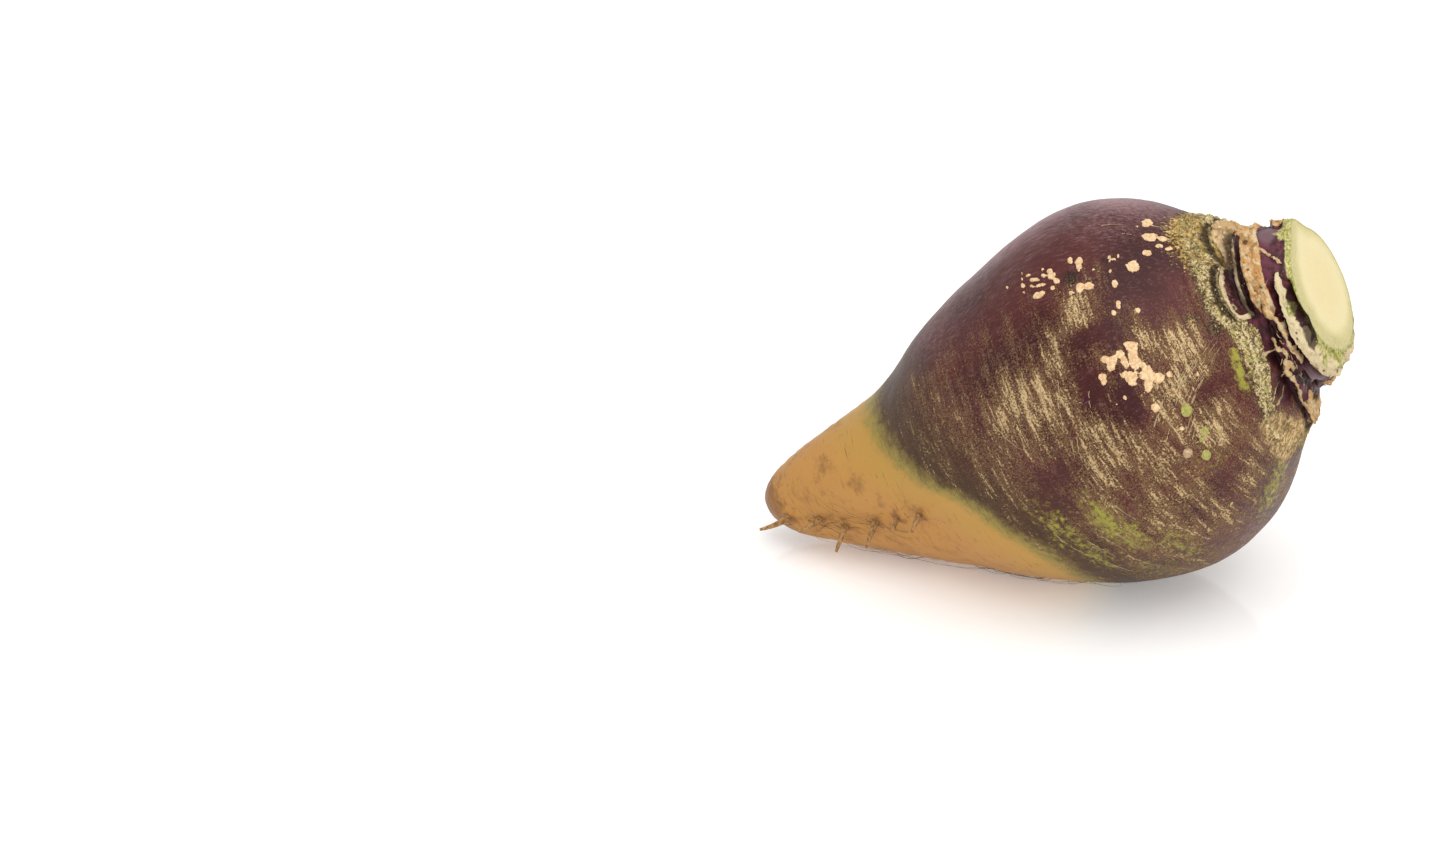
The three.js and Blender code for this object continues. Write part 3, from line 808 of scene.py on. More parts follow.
class Growth(Nodes):
    """A geometry tree with named inputs, which ends in Realize Instances and Set Material."""

    def __init__(self, name, **sockets):
        super().__init__(bpy.data.node_groups.new(name, "GeometryNodeTree"))
        face = self.tree.interface
        face.new_socket("Geometry", in_out="OUTPUT", socket_type="NodeSocketGeometry")
        for key, kind in {"Geometry": "Geometry", **sockets, "Skin": "Material"}.items():
            face.new_socket(key.replace("_", " "), in_out="INPUT", socket_type="NodeSocket" + kind)
        self.inputs = self.tree.nodes.new("NodeGroupInput")

    def given(self, name):
        return Wire(self, self.inputs.outputs[name])

    def named(self, name, data_type="FLOAT"):
        return self.add("GeometryNodeInputNamedAttribute", {"Name": name}, "Attribute", data_type=data_type)

    @cache
    def skin(self):
        return self.named("skin", "FLOAT_VECTOR")

    @cache
    def channels(self, name):
        return self.add("FunctionNodeSeparateColor", {"Color": self.named(name, "FLOAT_COLOR")}, (0, 1, 2))

    def random(self, low, high, seed):
        return self.add("FunctionNodeRandomValue", {2: low, 3: high, "Seed": seed}, 1, data_type="FLOAT")

    def place_mm(self, seed_axis=None):
        """Each point's place in mm, moved along an axis by the seed."""
        place = self.scaled(self.add("GeometryNodeInputPosition"), 1 / MM)
        if seed_axis is None:
            return place
        return self.vector_sum(place, self.add("ShaderNodeCombineXYZ", {seed_axis: self.given("Seed")}))

    def moved(self, geometry, offset):
        return self.add("GeometryNodeSetPosition", {"Geometry": geometry, "Offset": offset})

    def rounded(self, geometry):
        return self.add("GeometryNodeSetShadeSmooth", {"Geometry": geometry})

    def finish(self, geometry, on_flesh=None):
        """Ends the tree, with the skin's material and the flesh's where on_flesh is true."""
        geometry = self.add("GeometryNodeRealizeInstances", {"Geometry": geometry})
        geometry = self.add("GeometryNodeSetMaterial", {"Geometry": geometry, "Material": self.given("Skin")})
        if on_flesh:
            inputs = {"Geometry": geometry, "Selection": on_flesh, "Material": self.given("Flesh")}
            geometry = self.add("GeometryNodeSetMaterial", inputs)
        self.feed(self.tree.nodes.new("NodeGroupOutput").inputs["Geometry"], geometry)
        return self.tree


def grow(name, mesh, tree, values):
    """Runs a geometry tree on a mesh with these inputs. The result is a plain mesh that rides on the body."""
    piece = bpy.data.objects.new(name, mesh)
    bpy.context.scene.collection.objects.link(piece)
    modifier = piece.modifiers.new("growth", "NODES")
    modifier.node_group = tree
    for item in tree.interface.items_tree:
        if item.in_out == "INPUT" and item.name in values:
            modifier[item.identifier] = values[item.name]
    depsgraph = bpy.context.evaluated_depsgraph_get()
    grown = bpy.data.meshes.new_from_object(
        piece.evaluated_get(depsgraph), preserve_all_data_layers=True, depsgraph=depsgraph)
    piece.modifiers.clear()
    piece.data = grown
    grown.name = name
    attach(piece, "root")
    return piece


# ---- Finishes ---------------------------------------------------------------------------------------------


def skin_finish(look):
    """The whole skin: body, flecks, neck, shoulder and scars, laid one over the other."""
    f = Finish("root_skin", Specular_IOR_Level=0.18)
    lime = f.pattern("lime_blotches") * 1.1 + f.mark("lime") * 0.3
    bruise = f.pattern("bruise_streaks") * 0.9 + f.mark("bruise") * 0.62
    colour = f.coats(
        body_colour(f, look),
        (look.lime, lime, 0.68, 0.9, 0.9),
        (look.black_green, bruise, 0.72, 0.98, 0.9))
    colour, flecks = corky_flecks(f, look, colour)

    # The neck: smooth purple between the scars, with a painted grey sheen on the lobes.
    bare = f.coats(
        look.neck_dark,
        (look.neck_purple, f.pattern("neck_shades"), 0.35, 0.65),
        (look.painted_lobe_sheen, f.pattern("mottle") * 0.3 + f.mark("lobes"), 0.4, 0.9))
    colour = f.mix(f.mark("bare_neck"), colour, bare)
    colour, bark, bark_height = shoulder_bark(f, look, colour)
    colour, scar_share = scar_tissue(f, look, colour)
    # Painted shade: grooves, hollows, crevices and strand pits darkened towards the groove colour.
    dark = f.ramp(f.mark("grooves"), 0.3, 0.85, 0.0, 0.85)
    dark = f.most(dark, f.ramp(f.mark("strands"), 0.45, 0.8, 0.0, 0.75))
    f.set("Base Color", f.mix(dark, colour, look.painted_groove_shade))

    f.set("Roughness", f.ramp(f.most(flecks, bark, scar_share), 0.0, 1.0, look.gloss, 0.85))
    relief = flecks * 0.5 + f.pattern("skin_grain") * 0.3
    f.relief(relief + bark * bark_height * 2.2 + scar_share * f.pattern("fibres") * 1.8, 0.3 * MM)
    return f.material


def body_colour(f, look):
    """Purple with a painted mauve sheen, through olive and green to cream and the brown root tip."""
    pale, mottle, fine = f.mark("pale"), f.pattern("mottle"), f.pattern("fine")
    # Painted sheen: lighter mauve streaks and patches where light grazes the skin.
    painted_sheen_mauve = f.pattern("sheen_streaks") * 1.1 + f.mark("painted_sheen") * 0.42 + fine * 0.25
    paleness = pale + mottle * 0.5 + fine * 0.16 - 0.25
    colour = f.coats(
        look.deep_purple,
        (look.purple, f.pattern("purple_drift"), 0.35, 0.65),
        (look.deep_purple, mottle, 0.5, 0.75, 0.55),
        (look.painted_sheen_mauve, painted_sheen_mauve, 0.66, 1.4, 0.85),
        (look.olive_dark, paleness, -1.1, 0.3, 0.85),
        (look.olive_green, paleness, 0.28, 0.62),
        (look.cream, paleness, 0.55, 0.85),
        (look.tan_root, paleness, 0.85, 1.7))
    dashes = f.ramp(f.pattern("dashes"), 0.62, 0.7, 0.0, 0.6) * f.ramp(paleness, 0.8, 1.0)
    rust = f.ramp(f.pattern("rust"), 0.5, 0.72, 0.0, 0.55) * f.ramp(pale, 0.9, 1.3)
    colour = f.mixed(colour, (dashes, look.scar_brown), (rust, look.scar_brown))
    return f.coat(colour, look.root_tip, (mottle - 0.5) * 1.8 + f.mark("brown"), 0.25, 0.9, 0.85)


def corky_flecks(f, look, colour):
    """Fine corky grains that gather in strokes round the root, dense in patches and sparse elsewhere."""
    pale, fleck = f.mark("pale"), f.mark("fleck")
    strokes, grains, columns = f.pattern("strokes"), f.pattern("grains"), f.pattern("columns")
    bare = f.ramp(pale, 0.3, 0.75, 1.0, 0.0) * (1.0 - f.mark("bare_neck"))
    # Fewer flecks and less dust on the clear patches and under the painted sheen.
    clear_and_sheen = f.mark("clear") * 0.5 + f.mark("painted_sheen") * 0.5

    # Dark pores, mid-brown dust nearly everywhere, then the bright flecks.
    colour = f.mix(f.ramp(grains, 0.43, 0.33, 0.0, 0.6) * bare, colour, look.deep_purple)
    dust = strokes * 0.7 + columns * 0.9 + grains * 2.4 + fleck * 0.3 - clear_and_sheen
    dusted = f.ramp(dust, 1.97, 2.17, 0.0, 0.72) * f.ramp(pale, -0.7, 0.2, 1.0, 0.25)
    colour = f.mix(dusted * bare, colour, look.dust)
    thick = strokes * 1.4 + grains * 2.1 + columns * 0.9 + fleck * 0.4 - clear_and_sheen
    flecks = f.ramp(thick, 2.36, 2.54) * bare
    fleck_tone = f.coats(
        look.fleck_dark,
        (look.fleck, thick, 2.42, 2.8),
        (look.fleck_dark, f.pattern("pits"), 0.5, 0.62, 0.7))
    return f.mix(flecks * 0.92, colour, fleck_tone), flecks


def shoulder_bark(f, look, colour):
    """Soft golden bark on top of the shoulder, suede below and crumbled cork in front."""
    comb, gaps = f.pattern("comb"), f.pattern("gaps")
    soft = f.coat(look.suede_dark, look.suede, comb, 0.38, 0.62)
    soft_share = f.ramp(f.pattern("mottle") * 0.9 + f.mark("suede"), 0.8, 1.1)
    golden = f.coats(
        look.gold_dark,
        (look.gold, f.pattern("gold_folds"), 0.36, 0.56),
        (look.cork, comb, 0.55, 0.68, 0.8),
        (look.gold_dark, gaps, 0.5, 0.62, 0.6))
    gold_share = f.ramp(comb * 1.6 + f.mark("gold"), 1.15, 1.4)
    cork_share, crumbs = cork_crumbs(f)
    corky = f.coats(
        look.crack,
        (look.cork_dark, crumbs, 0.34, 0.44),
        (look.cork, crumbs, 0.44, 0.55),
        (look.lime, f.pattern("soft_patches"), 0.52, 0.66, 0.55),
        (look.crack, gaps, 0.5, 0.58, 0.72))
    ridge_share = f.ramp(comb * 3.0 + f.mark("ridge"), 2.2, 2.6) * 0.85
    colour = f.mixed(
        colour,
        (soft_share, soft),
        (gold_share, golden),
        (cork_share * 0.92, corky),
        (ridge_share, look.cork))
    bark = f.most(soft_share, gold_share, cork_share, ridge_share)
    return colour, bark, crumbs * cork_share + comb * 0.5


def cork_crumbs(n):
    """Where there is cork, and how high its crumbs stand. The skin's shape and colour both read it."""
    cover = n.pattern("crumble") * 1.4 + n.pattern("bald") * 1.1 + n.mark("cork") * 0.85 - 0.55
    return n.ramp(cover, 1.0, 1.2), n.pattern("crumbs")


def scar_tissue(f, look, colour):
    """Leaf scars: dry pale or tan tissue with brown fibres and green stains, with painted shade in their
    holes.
    """
    tint, fibres, blotches = f.mark("tint"), f.pattern("fibres"), f.pattern("scar_blotches")
    dry = f.coats(
        look.scar_pale,
        (look.scar_tan, tint, 0.1, 0.85),
        (look.scar_pale, blotches, 0.46, 0.6, 0.8))
    stains = f.ramp(f.pattern("scar_stains"), 0.54, 0.66) * f.ramp(tint, 0.0, 0.6, 0.15, 0.6)
    dry = f.coats(
        f.mix(stains, dry, look.gold_dark),
        (look.scar_brown, fibres, 0.54, 0.74, 0.6),
        (look.scar_brown, f.pattern("fine"), 0.58, 0.76, 0.4),
        (look.scar_light, fibres, 0.46, 0.3, 0.5),
        # Painted shade in the scars' holes, on the pattern that the bark tree sinks.
        (look.painted_hole_shade, f.pattern("scar_holes"), 0.66, 0.74, 0.75))
    scar_share = f.ramp(f.pattern("scar_edges") * 0.9 + f.mark("scars") - 0.45, 0.4, 0.6)
    colour = f.mix(scar_share, colour, dry)
    green = f.coat(look.rim_green, look.flesh_rim, f.pattern("rim_specks"), 0.42, 0.61)
    return f.coat(colour, green, f.mark("rim") + blotches - 0.5, 0.4, 0.65), scar_share


def flesh_finish(look):
    """The cut face: pale flesh, with a grainy ring and a green edge."""
    f = Finish("cut_flesh", Roughness=0.5, Specular_IOR_Level=0.4, Subsurface_Weight=0.1,
               Subsurface_Scale=2 * MM, Subsurface_Radius=(1.0, 0.7, 0.35))
    fuzz = f.pattern("fuzz")
    outward = f.attribute("heart") + f.pattern("flesh_wander") * 0.14 + fuzz * 0.26 - 0.2
    outer = f.ramp(outward, 0.78, 1.0)
    grains = f.ramp(fuzz, 0.46, 0.68) * outer
    pale_grains = f.ramp(f.pattern("pale_grains"), 0.54, 0.64) * outer
    colour = f.coats(
        f.mix(f.pattern("soft_patches"), look.flesh, look.flesh_warm),
        (look.flesh, outward, 0.25, 0.78),
        (look.flesh_rim, outward, 0.66, 0.9))
    colour = f.mixed(colour, (grains * 0.36, look.rim_green), (pale_grains * 0.75, look.flesh))
    edge = fuzz * 0.06 + f.attribute("cut")
    f.set("Base Color", f.coat(colour, look.rim_green, edge, 0.985, 1.03, 0.55))
    f.relief(grains * 0.5 + f.pattern("flesh_grain"), 0.2 * MM)
    return f.material


# Grainy finishes: light tone, dark tone, grains to a mm, roughness, height of the grains in mm.
GRAINY = {
    "scab_crust": ("f0d2a6", "d2a678", 1.1, 0.75, 0.15),
    "lime_spot": ("b4ac62", "8b8d40", 1.3, 0.6, 0.1),
    "dull_spot": ("c3a583", "9a7d5f", 1.5, 0.7, 0.1),
    "scratch_cork": ("d8c59a", "ab9468", 2.0, 0.8, 0.05),
    "side_root_bark": ("b98f5c", "7a5a36", 0.9, 0.7, 0.15),
    "root_hair": ("a07c4e", "6b4d2e", 0.5, 0.6, 0.02),
    "cork_flake": ("e0d5ac", "a0925f", 0.7, 0.85, 0.1),
    "scar_crumb": ("dfc698", "b08a58", 0.7, 0.8, 0.1),
    "torn_fibre": ("e3cb9e", "a57f4e", 0.9, 0.8, 0.05),
}


def grainy_finish(name):
    light, dark, scale, roughness, height = GRAINY[name]
    f = Finish(name, Roughness=roughness, Specular_IOR_Level=0.3)
    grain = f.noise(f.place_mm(), scale, 4, 0.65)
    f.set("Base Color", f.coat(tone(dark), tone(light), grain, 0.35, 0.65))
    f.relief(grain, height * MM)
    return f.material


def floor_finish(look):
    f = Finish("pale_floor", Roughness=0.1, Specular_IOR_Level=0.6, Emission_Color=(1, 1, 1),
               Emission_Strength=0.24)
    shade = f.noise(f.add("ShaderNodeTexCoord", output="Object"), 3.0, 2)
    f.set("Base Color", f.mix(shade, look.floor, look.floor_shade))
    return f.material


# ---- Growth trees -----------------------------------------------------------------------------------------


def bark_tree():
    """Weathers the smooth skin: warps the neck, cracks the cork, frays the scars and wrinkles the root."""
    g = Growth("weathered_bark", Warp="Float", Crack_Depth="Float", Fibre_Height="Float", Lump_Height="Float",
               Seed="Int", Flesh="Material")
    warp, crack_depth, fibre_height, lump_height = (
        g.given(name) for name in ("Warp", "Crack Depth", "Fibre Height", "Lump Height"))
    cut, scars, place_mm = g.named("cut"), g.mark("scars"), g.place_mm(0)
    ragged = g.math("MAXIMUM", g.most(scars, g.mark("grooves")), g.mark("cork") * 0.7, clamp=True)
    pull = g.scaled(g.swirl(place_mm, 0.28, 4, 0.65), ragged * warp * 2.0)

    cork_share, crumbs = cork_crumbs(g)
    cracks = (crumbs - 0.42) * cork_share * crack_depth * 2.4
    combed = g.pattern("coarse_comb") * g.mark("ridge") * crack_depth
    folds = (g.pattern("bark_folds") - 0.5) * g.mark("gold") * warp * 4.0
    frays = (g.pattern("fibres") - 0.5) * scars * fibre_height * 2.0
    hollows = (g.pattern("scar_hollows") - 0.5) * scars * fibre_height * 5.0
    holes = g.ramp(g.pattern("scar_holes"), 0.64, 0.74) * scars * fibre_height * 1.6
    lumps = (g.noise(place_mm, 0.07, 3, 0.5) - 0.5) * lump_height
    wrinkles = (g.pattern("wrinkles") - 0.5) * g.ramp(g.mark("pale"), 0.5, 1.1) * lump_height
    height = cracks + combed + folds + frays + hollows - holes + lumps + wrinkles
    height = height * g.ramp(cut, 1.0, 1.2, 0.25, 1.0)
    offset = g.vector_sum(pull, g.scaled(g.add("GeometryNodeInputNormal"), height))
    shaped = g.moved(g.given("Geometry"), offset)

    # The flat spot stays on the floor.
    x, y, z = g.add("ShaderNodeSeparateXYZ", {0: g.add("GeometryNodeInputPosition")}, (0, 1, 2))
    level = g.add("ShaderNodeCombineXYZ", {0: x, 1: y, 2: g.most(z, 0.0)})
    rested = g.add("GeometryNodeSetPosition", {"Geometry": shaped, "Position": level})
    return g.finish(rested, on_flesh=g.math("LESS_THAN", cut, 0.99))


def crust_tree():
    """Leaves ragged plates where a mesh has enough crust, with their edges sunk in the skin."""
    g = Growth("crust_plates", Height="Float", Ragged="Float", Seed="Int")
    place_mm = g.place_mm(1)
    grain = g.noise(place_mm, 2.1, 3, 0.65) - 0.5
    uneven = (g.noise(place_mm, 0.6, 2, 0.5) - 0.5) * 2.2 + grain
    crust = uneven * g.given("Ragged") + g.named("crust")
    too_thin = g.math("LESS_THAN", crust, 0.13)
    plates = g.add("GeometryNodeDeleteGeometry", {"Geometry": g.given("Geometry"), "Selection": too_thin},
                   domain="POINT")
    plateau = grain * 1.4 + g.ramp(crust, 0.16, 0.36, -0.5, 1.0)
    plates = g.moved(plates, g.scaled(g.named("normal", "FLOAT_VECTOR"), plateau * g.given("Height")))
    return g.finish(g.rounded(plates))


def strand_tree():
    """Turns lines of points into tapering strands of a few sides."""
    g = Growth("strands", Radius="Float", Sides="Int", Taper="Float")
    share = g.add("GeometryNodeSplineParameter", output="Factor")
    radius = (1.0 - g.math("POWER", share, 1.4) * g.given("Taper")) * g.named("size") * g.given("Radius")
    sides = {"Resolution": g.given("Sides"), "Radius": 1.0}
    ring = g.add("GeometryNodeCurvePrimitiveCircle", sides, mode="RADIUS")
    curves = g.add("GeometryNodeMeshToCurve", {"Mesh": g.given("Geometry")})
    inputs = {"Curve": curves, "Profile Curve": ring, "Fill Caps": True, "Scale": radius}
    return g.finish(g.rounded(g.add("GeometryNodeCurveToMesh", inputs)))


def flake_tree():
    """Scatters small low flakes over a mesh, on its scars or on its cork."""
    g = Growth("flakes", Density="Float", Size="Float", Long="Float", High="Float", Sides="Int", Seed="Int",
               On_Scars="Bool")
    sides = {"Switch": g.given("On Scars"), "False": g.mark("cork"), "True": g.mark("scars")}
    picked = g.add("GeometryNodeSwitch", sides, input_type="FLOAT")
    patchy = g.ramp(g.pattern("flake_patches"), 0.35, 0.65)
    chance = g.ramp(picked, 0.15, 0.95) * patchy * g.ramp(g.named("cut"), 1.0, 1.3)
    points, normal = g.add("GeometryNodeDistributePointsOnFaces", {
        "Mesh": g.given("Geometry"),
        "Density": chance * g.given("Density"),
        "Seed": g.given("Seed")}, ("Points", "Normal"))
    flake = g.add("GeometryNodeMeshCone", {
        "Vertices": g.given("Sides"),
        "Side Segments": 2,
        "Fill Segments": 1,
        "Radius Top": 0.55,
        "Radius Bottom": 1.0,
        "Depth": 1.0})
    facing = g.add("FunctionNodeAlignRotationToVector", {"Vector": normal}, axis="Z")
    spin = g.add("FunctionNodeAxisAngleToRotation", {"Axis": (0, 0, 1), "Angle": g.random(0.0, 6.28, 5)})
    turns = {"Rotation": facing, "Rotate By": spin}
    facing = g.add("FunctionNodeRotateRotation", turns, rotation_space="LOCAL")
    size = g.random(0.3, 1.0, g.given("Seed")) * g.given("Size")
    scale = g.add("ShaderNodeCombineXYZ", {0: size, 1: size * g.given("Long"), 2: size * g.given("High")})
    flakes = g.add("GeometryNodeInstanceOnPoints", {
        "Points": points, "Instance": flake, "Rotation": facing, "Scale": scale})
    flakes = g.add("GeometryNodeRealizeInstances", {"Geometry": flakes})
    flakes = g.moved(flakes, g.scaled(g.swirl(g.place_mm(), 1.9, 2, 0.5), g.given("Size")))
    return g.finish(g.rounded(flakes))


# ---- What goes where --------------------------------------------------------------------------------------


# Scabs and spots: angle, station, half length along the root, half width round it, and turn.
SCABS = [
    (24.1, -0.5, 0.3, 0.8, -5), (26.4, -0.7, 0.4, 0.75, -12), (29.2, -0.7, 0.7, 1.1, -15),
    (31.9, -0.7, 0.4, 0.6, -29), (26.4, 1.5, 1.1, 0.7, 28), (29.4, 3.4, 1.8, 0.7, 36),
    (26.8, 6.4, 0.4, 0.6, -12), (29.3, 6.2, 0.6, 0.9, -21), (28.6, 8.4, 0.7, 1, -31),
    (30.9, 8.8, 1.1, 1.5, -23), (33.3, 10, 0.8, 1.1, -31), (35.5, 8.5, 0.7, 0.9, -12),
    (32.4, 4.9, 1.7, 0.6, 16), (31.2, 2.2, 0.7, 0.4, 44), (35.5, 3.5, 1.7, 1.1, 22),
    (35.4, 5.3, 0.8, 0.5, 45), (26, -6.2, 0.5, 0.9, -29), (26.9, 14.9, 0.7, 1.3, -1),
    (28.2, 17.3, 0.9, 1.4, -6), (30.6, 17.1, 0.8, 1.5, 1), (38.8, 16, 1.1, 1.8, 6),
    (39.1, 18.7, 1.1, 1.4, -6), (38.8, 17.3, 0.6, 0.8, -43), (39.5, 13.4, 0.6, 0.8, -38),
    (41.3, 13.3, 0.4, 0.6, 8), (28.9, 25.3, 0.5, 0.6, 1), (30.2, 26.2, 0.7, 0.5, 12),
    (28.7, 27.5, 0.3, 0.8, 5), (31, 25.2, 0.2, 0.6, 6), (35.1, 24.9, 0.4, 0.7, 6),
    (40.5, 25.2, 0.7, 1.5, 9), (48.5, 24.6, 0.6, 1.4, 12), (50.9, 22.8, 0.7, 0.9, -1),
    (52.5, 28.8, 0.6, 0.8, 7), (34, 30.6, 1.5, 2.4, 8), (27.4, 33.6, 0.6, 1.3, 8),
    (27.4, 34.6, 0.7, 1.4, 8), (22.7, 37, 0.8, 1.1, 41), (23.9, 39.2, 0.7, 0.9, 36),
    (17.7, 35.1, 1.5, 2.1, 26), (17.7, 38, 0.9, 1.3, 17), (7.4, 34.5, 1.1, 2.3, 5),
    (11.7, 32.4, 0.3, 0.6, 2), (33.3, 20.7, 0.3, 0.4, -1), (38, 10.4, 0.3, 0.3, -17),
    (62.8, 24, 1.8, 0.7, 27), (64.3, 23.8, 1.4, 0.9, 32), (66, 23.6, 1, 1.6, 17),
    (69.1, 23.2, 1.5, 2, 14), (64.6, 20.5, 1.1, 1.3, 8), (67.2, 20.7, 0.8, 1.1, 17),
    (68.8, 20.8, 0.6, 0.8, 12), (64.2, 16.3, 1.3, 1, 34), (65.4, 18.1, 1.1, 1.4, 16),
    (67, 16.8, 1, 1.2, 9), (71.8, 20.4, 1.9, 1.1, 31), (73.7, 20.3, 1.1, 1.3, 15),
    (73.9, 24.7, 1.7, 2.1, 7), (76.9, 26.7, 1.3, 1.7, -41), (77.6, 23.6, 1.1, 1.6, 19),
    (70.7, 24.9, 0.6, 0.7, -33), (68.6, 13.7, 1.1, 0.9, 41), (70.3, 13.3, 0.7, 0.8, 16),
    (77.3, 16.7, 0.5, 0.6, 12), (77.8, 13.9, 0.4, 0.4, -16), (84.6, 22.5, 1.1, 1.3, -10),
    (77.7, 29.4, 0.6, 0.7, -19), (95.1, 25.3, 0.6, 0.7, -12), (83.2, 35.3, 0.4, 0.6, 14),
    (102.5, 23.1, 0.4, 0.5, -27), (205, 18, 2.2, 1.8, 15), (209, 21, 1.3, 1.6, -10), (203, 22, 0.9, 1, 0),
    (213, 17, 0.7, 1.1, 20), (232, 30, 1.6, 1.3, 0), (236, 28, 0.8, 1, 10), (258, 4, 1.1, 1.8, 5),
    (261, 7, 0.6, 0.9, 0), (256, 9, 1.5, 0.7, -15), (300, 26, 1.7, 1.5, 0), (304, 29, 1.1, 0.9, 20),
    (296, 22, 0.7, 0.7, 0), (330, 8, 1.2, 0.9, 0), (334, 11, 0.6, 0.8, 0),
]
LIME_SPOTS = [
    (91.3, 28.7, 1.4, 1.8, 9), (101.7, 29.5, 0.9, 1.3, 7), (108.4, 26.2, 1.2, 1.7, -5),
    (103, 27.6, 0.6, 0.8, -1), (106.1, 31.9, 0.3, 0.5, 1), (131, 22, 0.6, 0.6, 0), (214, 24, 1.5, 1.6, 0),
    (226, 20, 0.9, 1, 0), (284, 12, 1.2, 1.3, 0),
]
DULL_SPOTS = [
    (103.1, 22.8, 1.4, 1.6, -1), (109.9, 30.3, 0.4, 0.7, -20), (97, 18.4, 0.5, 0.6, 0),
    (246, 15, 1.2, 1.3, 0),
]
CRUST_FROM, CRUST_TO, CRUST_STEP = -10, 44, 0.23  # stations that can carry crust, and the mesh's step
CRUST_LEAST, CRUST_REACH, CRUST_FADE = 0.03, 1.8, 1.4

# Thin pale scratches, each through three places: angle, station.
SCRATCHES = [
    ((9, 35.4), (10, 38.4), (14.4, 40)),
    ((12.4, 23.6), (11.4, 26.4), (11.6, 29.4)),
    ((17, 29), (17.6, 31.4), (19, 32.4)),
    ((89.2, -8), (104.2, -3), (121.8, 1.5)),
    ((108.5, -26), (117, -24), (125.2, -20)),
    ((66, -24), (74, -21), (79, -17)),
    ((230, -20), (236, -8), (250, 2)),
    ((280, 30), (290, 20), (296, 6)),
    ((190, 28), (198, 20), (200, 8)),
]
# Bundles of scratches: angle, station, half spread round and along, run round and along, how many.
SCRATCH_BUNDLES = [
    (86, 31, 5, 3, -9, 10, 13), (95, 22, 8, 5, -8, 8, 9), (72, 2, 10, 8, 9, -3, 6),
    (118, -14, 10, 6, 14, 4, 6), (215, 22, 12, 8, -9, 9, 10), (280, -6, 14, 10, 9, 6, 8),
]
SCRATCH_POINTS, ROOTLET_POINTS = 40, 12

# Torn fibres: how many to a degree of a scar's reach, the share of the reach that has them, the share of them
# on the lower edge and the points of each.
TORN_PER_DEGREE, TORN_SPAN, TORN_LOWER, TORN_POINTS = 0.4, 0.85, 0.6, 6

# Root hairs start on the underside, and one in four in a furrow.
HAIR_UNDER_ANGLES, HAIR_UNDER_STATIONS = (150, 196), (-30, -94)
HAIR_FURROW_STATIONS = (-74, -110)
HAIR_RANGE = (-116.0, -26.0)  # stations
HAIR_LENGTHS, HAIR_STEPS, HAIR_LEAST_RADIUS = (8, 28), 16, 8.0
HAIR_CLEARANCE, HAIR_WAVE = 0.15, 1.1  # mm over the skin


def torn_lines():
    """Short fibres along the edges of the scars, with their thicknesses."""
    draw = random_from(SEED + 7)
    lines, sizes = [], []
    for s in LEAF_SCARS:
        count = int(s.reach * TORN_PER_DEGREE)
        for i in range(count):
            a = TORN_SPAN * (2 * (i + next(draw)) / count - 1)
            side = 1 if next(draw) > TORN_LOWER and s.station < RIM_SCARS_FROM else -1
            _, middle, half = crescent(s, a)
            length = 0.3 + 0.9 * next(draw) ** 2
            swing = either_side(draw, 4.5)
            steps = np.linspace(0, 1, TORN_POINTS)
            angle = s.angle + a * s.reach + swing * steps
            station = np.minimum(middle + side * (half * 0.8 + length * 0.7 * steps), FACE_STATION - 0.4)
            lines.append(over_skin(angle, station, -0.3 + 0.9 * steps * between(draw, 0.3, 1.3)))
            sizes.append(between(draw, 0.35, 0.95))
    return lines, sizes


def crust_mesh(name, table):
    """A fine mesh just where a table's spots may reach on the skin, with how much crust each point has."""
    columns = round(2 * math.pi * BODY_RADIUS / CRUST_STEP)
    rows = round((CRUST_TO - CRUST_FROM) / CRUST_STEP)
    crust = np.zeros((rows, columns))
    for at, where, half_along, half_round, turned in table:
        base = float(along(PROFILE, np.float64(where)))
        reach = 1 + CRUST_REACH * max(half_along, half_round)
        row, column = (where - CRUST_FROM) / CRUST_STEP, at / 360 * columns
        high, wide = reach / CRUST_STEP, math.degrees(reach / base) / 360 * columns
        near_rows = np.arange(max(0, int(row - high)), min(rows, int(row + high)))
        near_columns = np.arange(int(column - wide), int(column + wide))
        ahead = (near_rows - row)[:, None] * CRUST_STEP
        aside = np.radians((near_columns - column) * 360 / columns) * base
        c, s = math.cos(math.radians(turned)), math.sin(math.radians(turned))
        far = ((ahead * c + aside * s) / half_along) ** 2 + ((aside * c - ahead * s) / half_round) ** 2
        crust[np.ix_(near_rows, near_columns % columns)] += np.exp(-CRUST_FADE * far)
    beside = np.roll(crust, -1, 1)
    kept = np.argwhere(np.maximum.reduce((crust[:-1], beside[:-1], beside[1:], crust[1:])) > CRUST_LEAST)
    at = lambda row, column: row * columns + column % columns
    quads = [[at(r, c), at(r, c + 1), at(r + 1, c + 1), at(r + 1, c)] for r, c in kept]
    used, faces = np.unique(np.array(quads), return_inverse=True)
    points, normals = surface(used % columns * 360 / columns, CRUST_FROM + used // columns * CRUST_STEP)
    mesh = mesh_of(name, points, faces.reshape(-1, 4).tolist())
    store(mesh, "normal", "FLOAT_VECTOR", normals)
    store(mesh, "crust", "FLOAT", crust.ravel()[used])
    return mesh


def bezier(start, pull, end, count):
    """Points of a curve from start to end that leans to pull."""
    s = np.linspace(0, 1, count)[:, None]
    return start * (1 - s) ** 2 + 2 * pull * s * (1 - s) + end * s * s


def scratch_places():
    """The named scratches and the seeded ones of each bundle, which run nearly side by side."""
    draw = random_from(SEED + 6)
    found = list(SCRATCHES)
    for angle, station, spread_round, spread_along, run_round, run_along, count in SCRATCH_BUNDLES:
        for _ in range(count):
            a = angle + either_side(draw, spread_round)
            t = station + either_side(draw, spread_along)
            share = between(draw, 0.4, 1.2)
            bow = either_side(draw, 0.3)
            halfway = (a + run_round * share * (0.5 + 0.1 * bow), t + run_along * share * 0.5 + bow)
            found.append(((a, t), halfway, (a + run_round * share, t + run_along * share)))
    return found


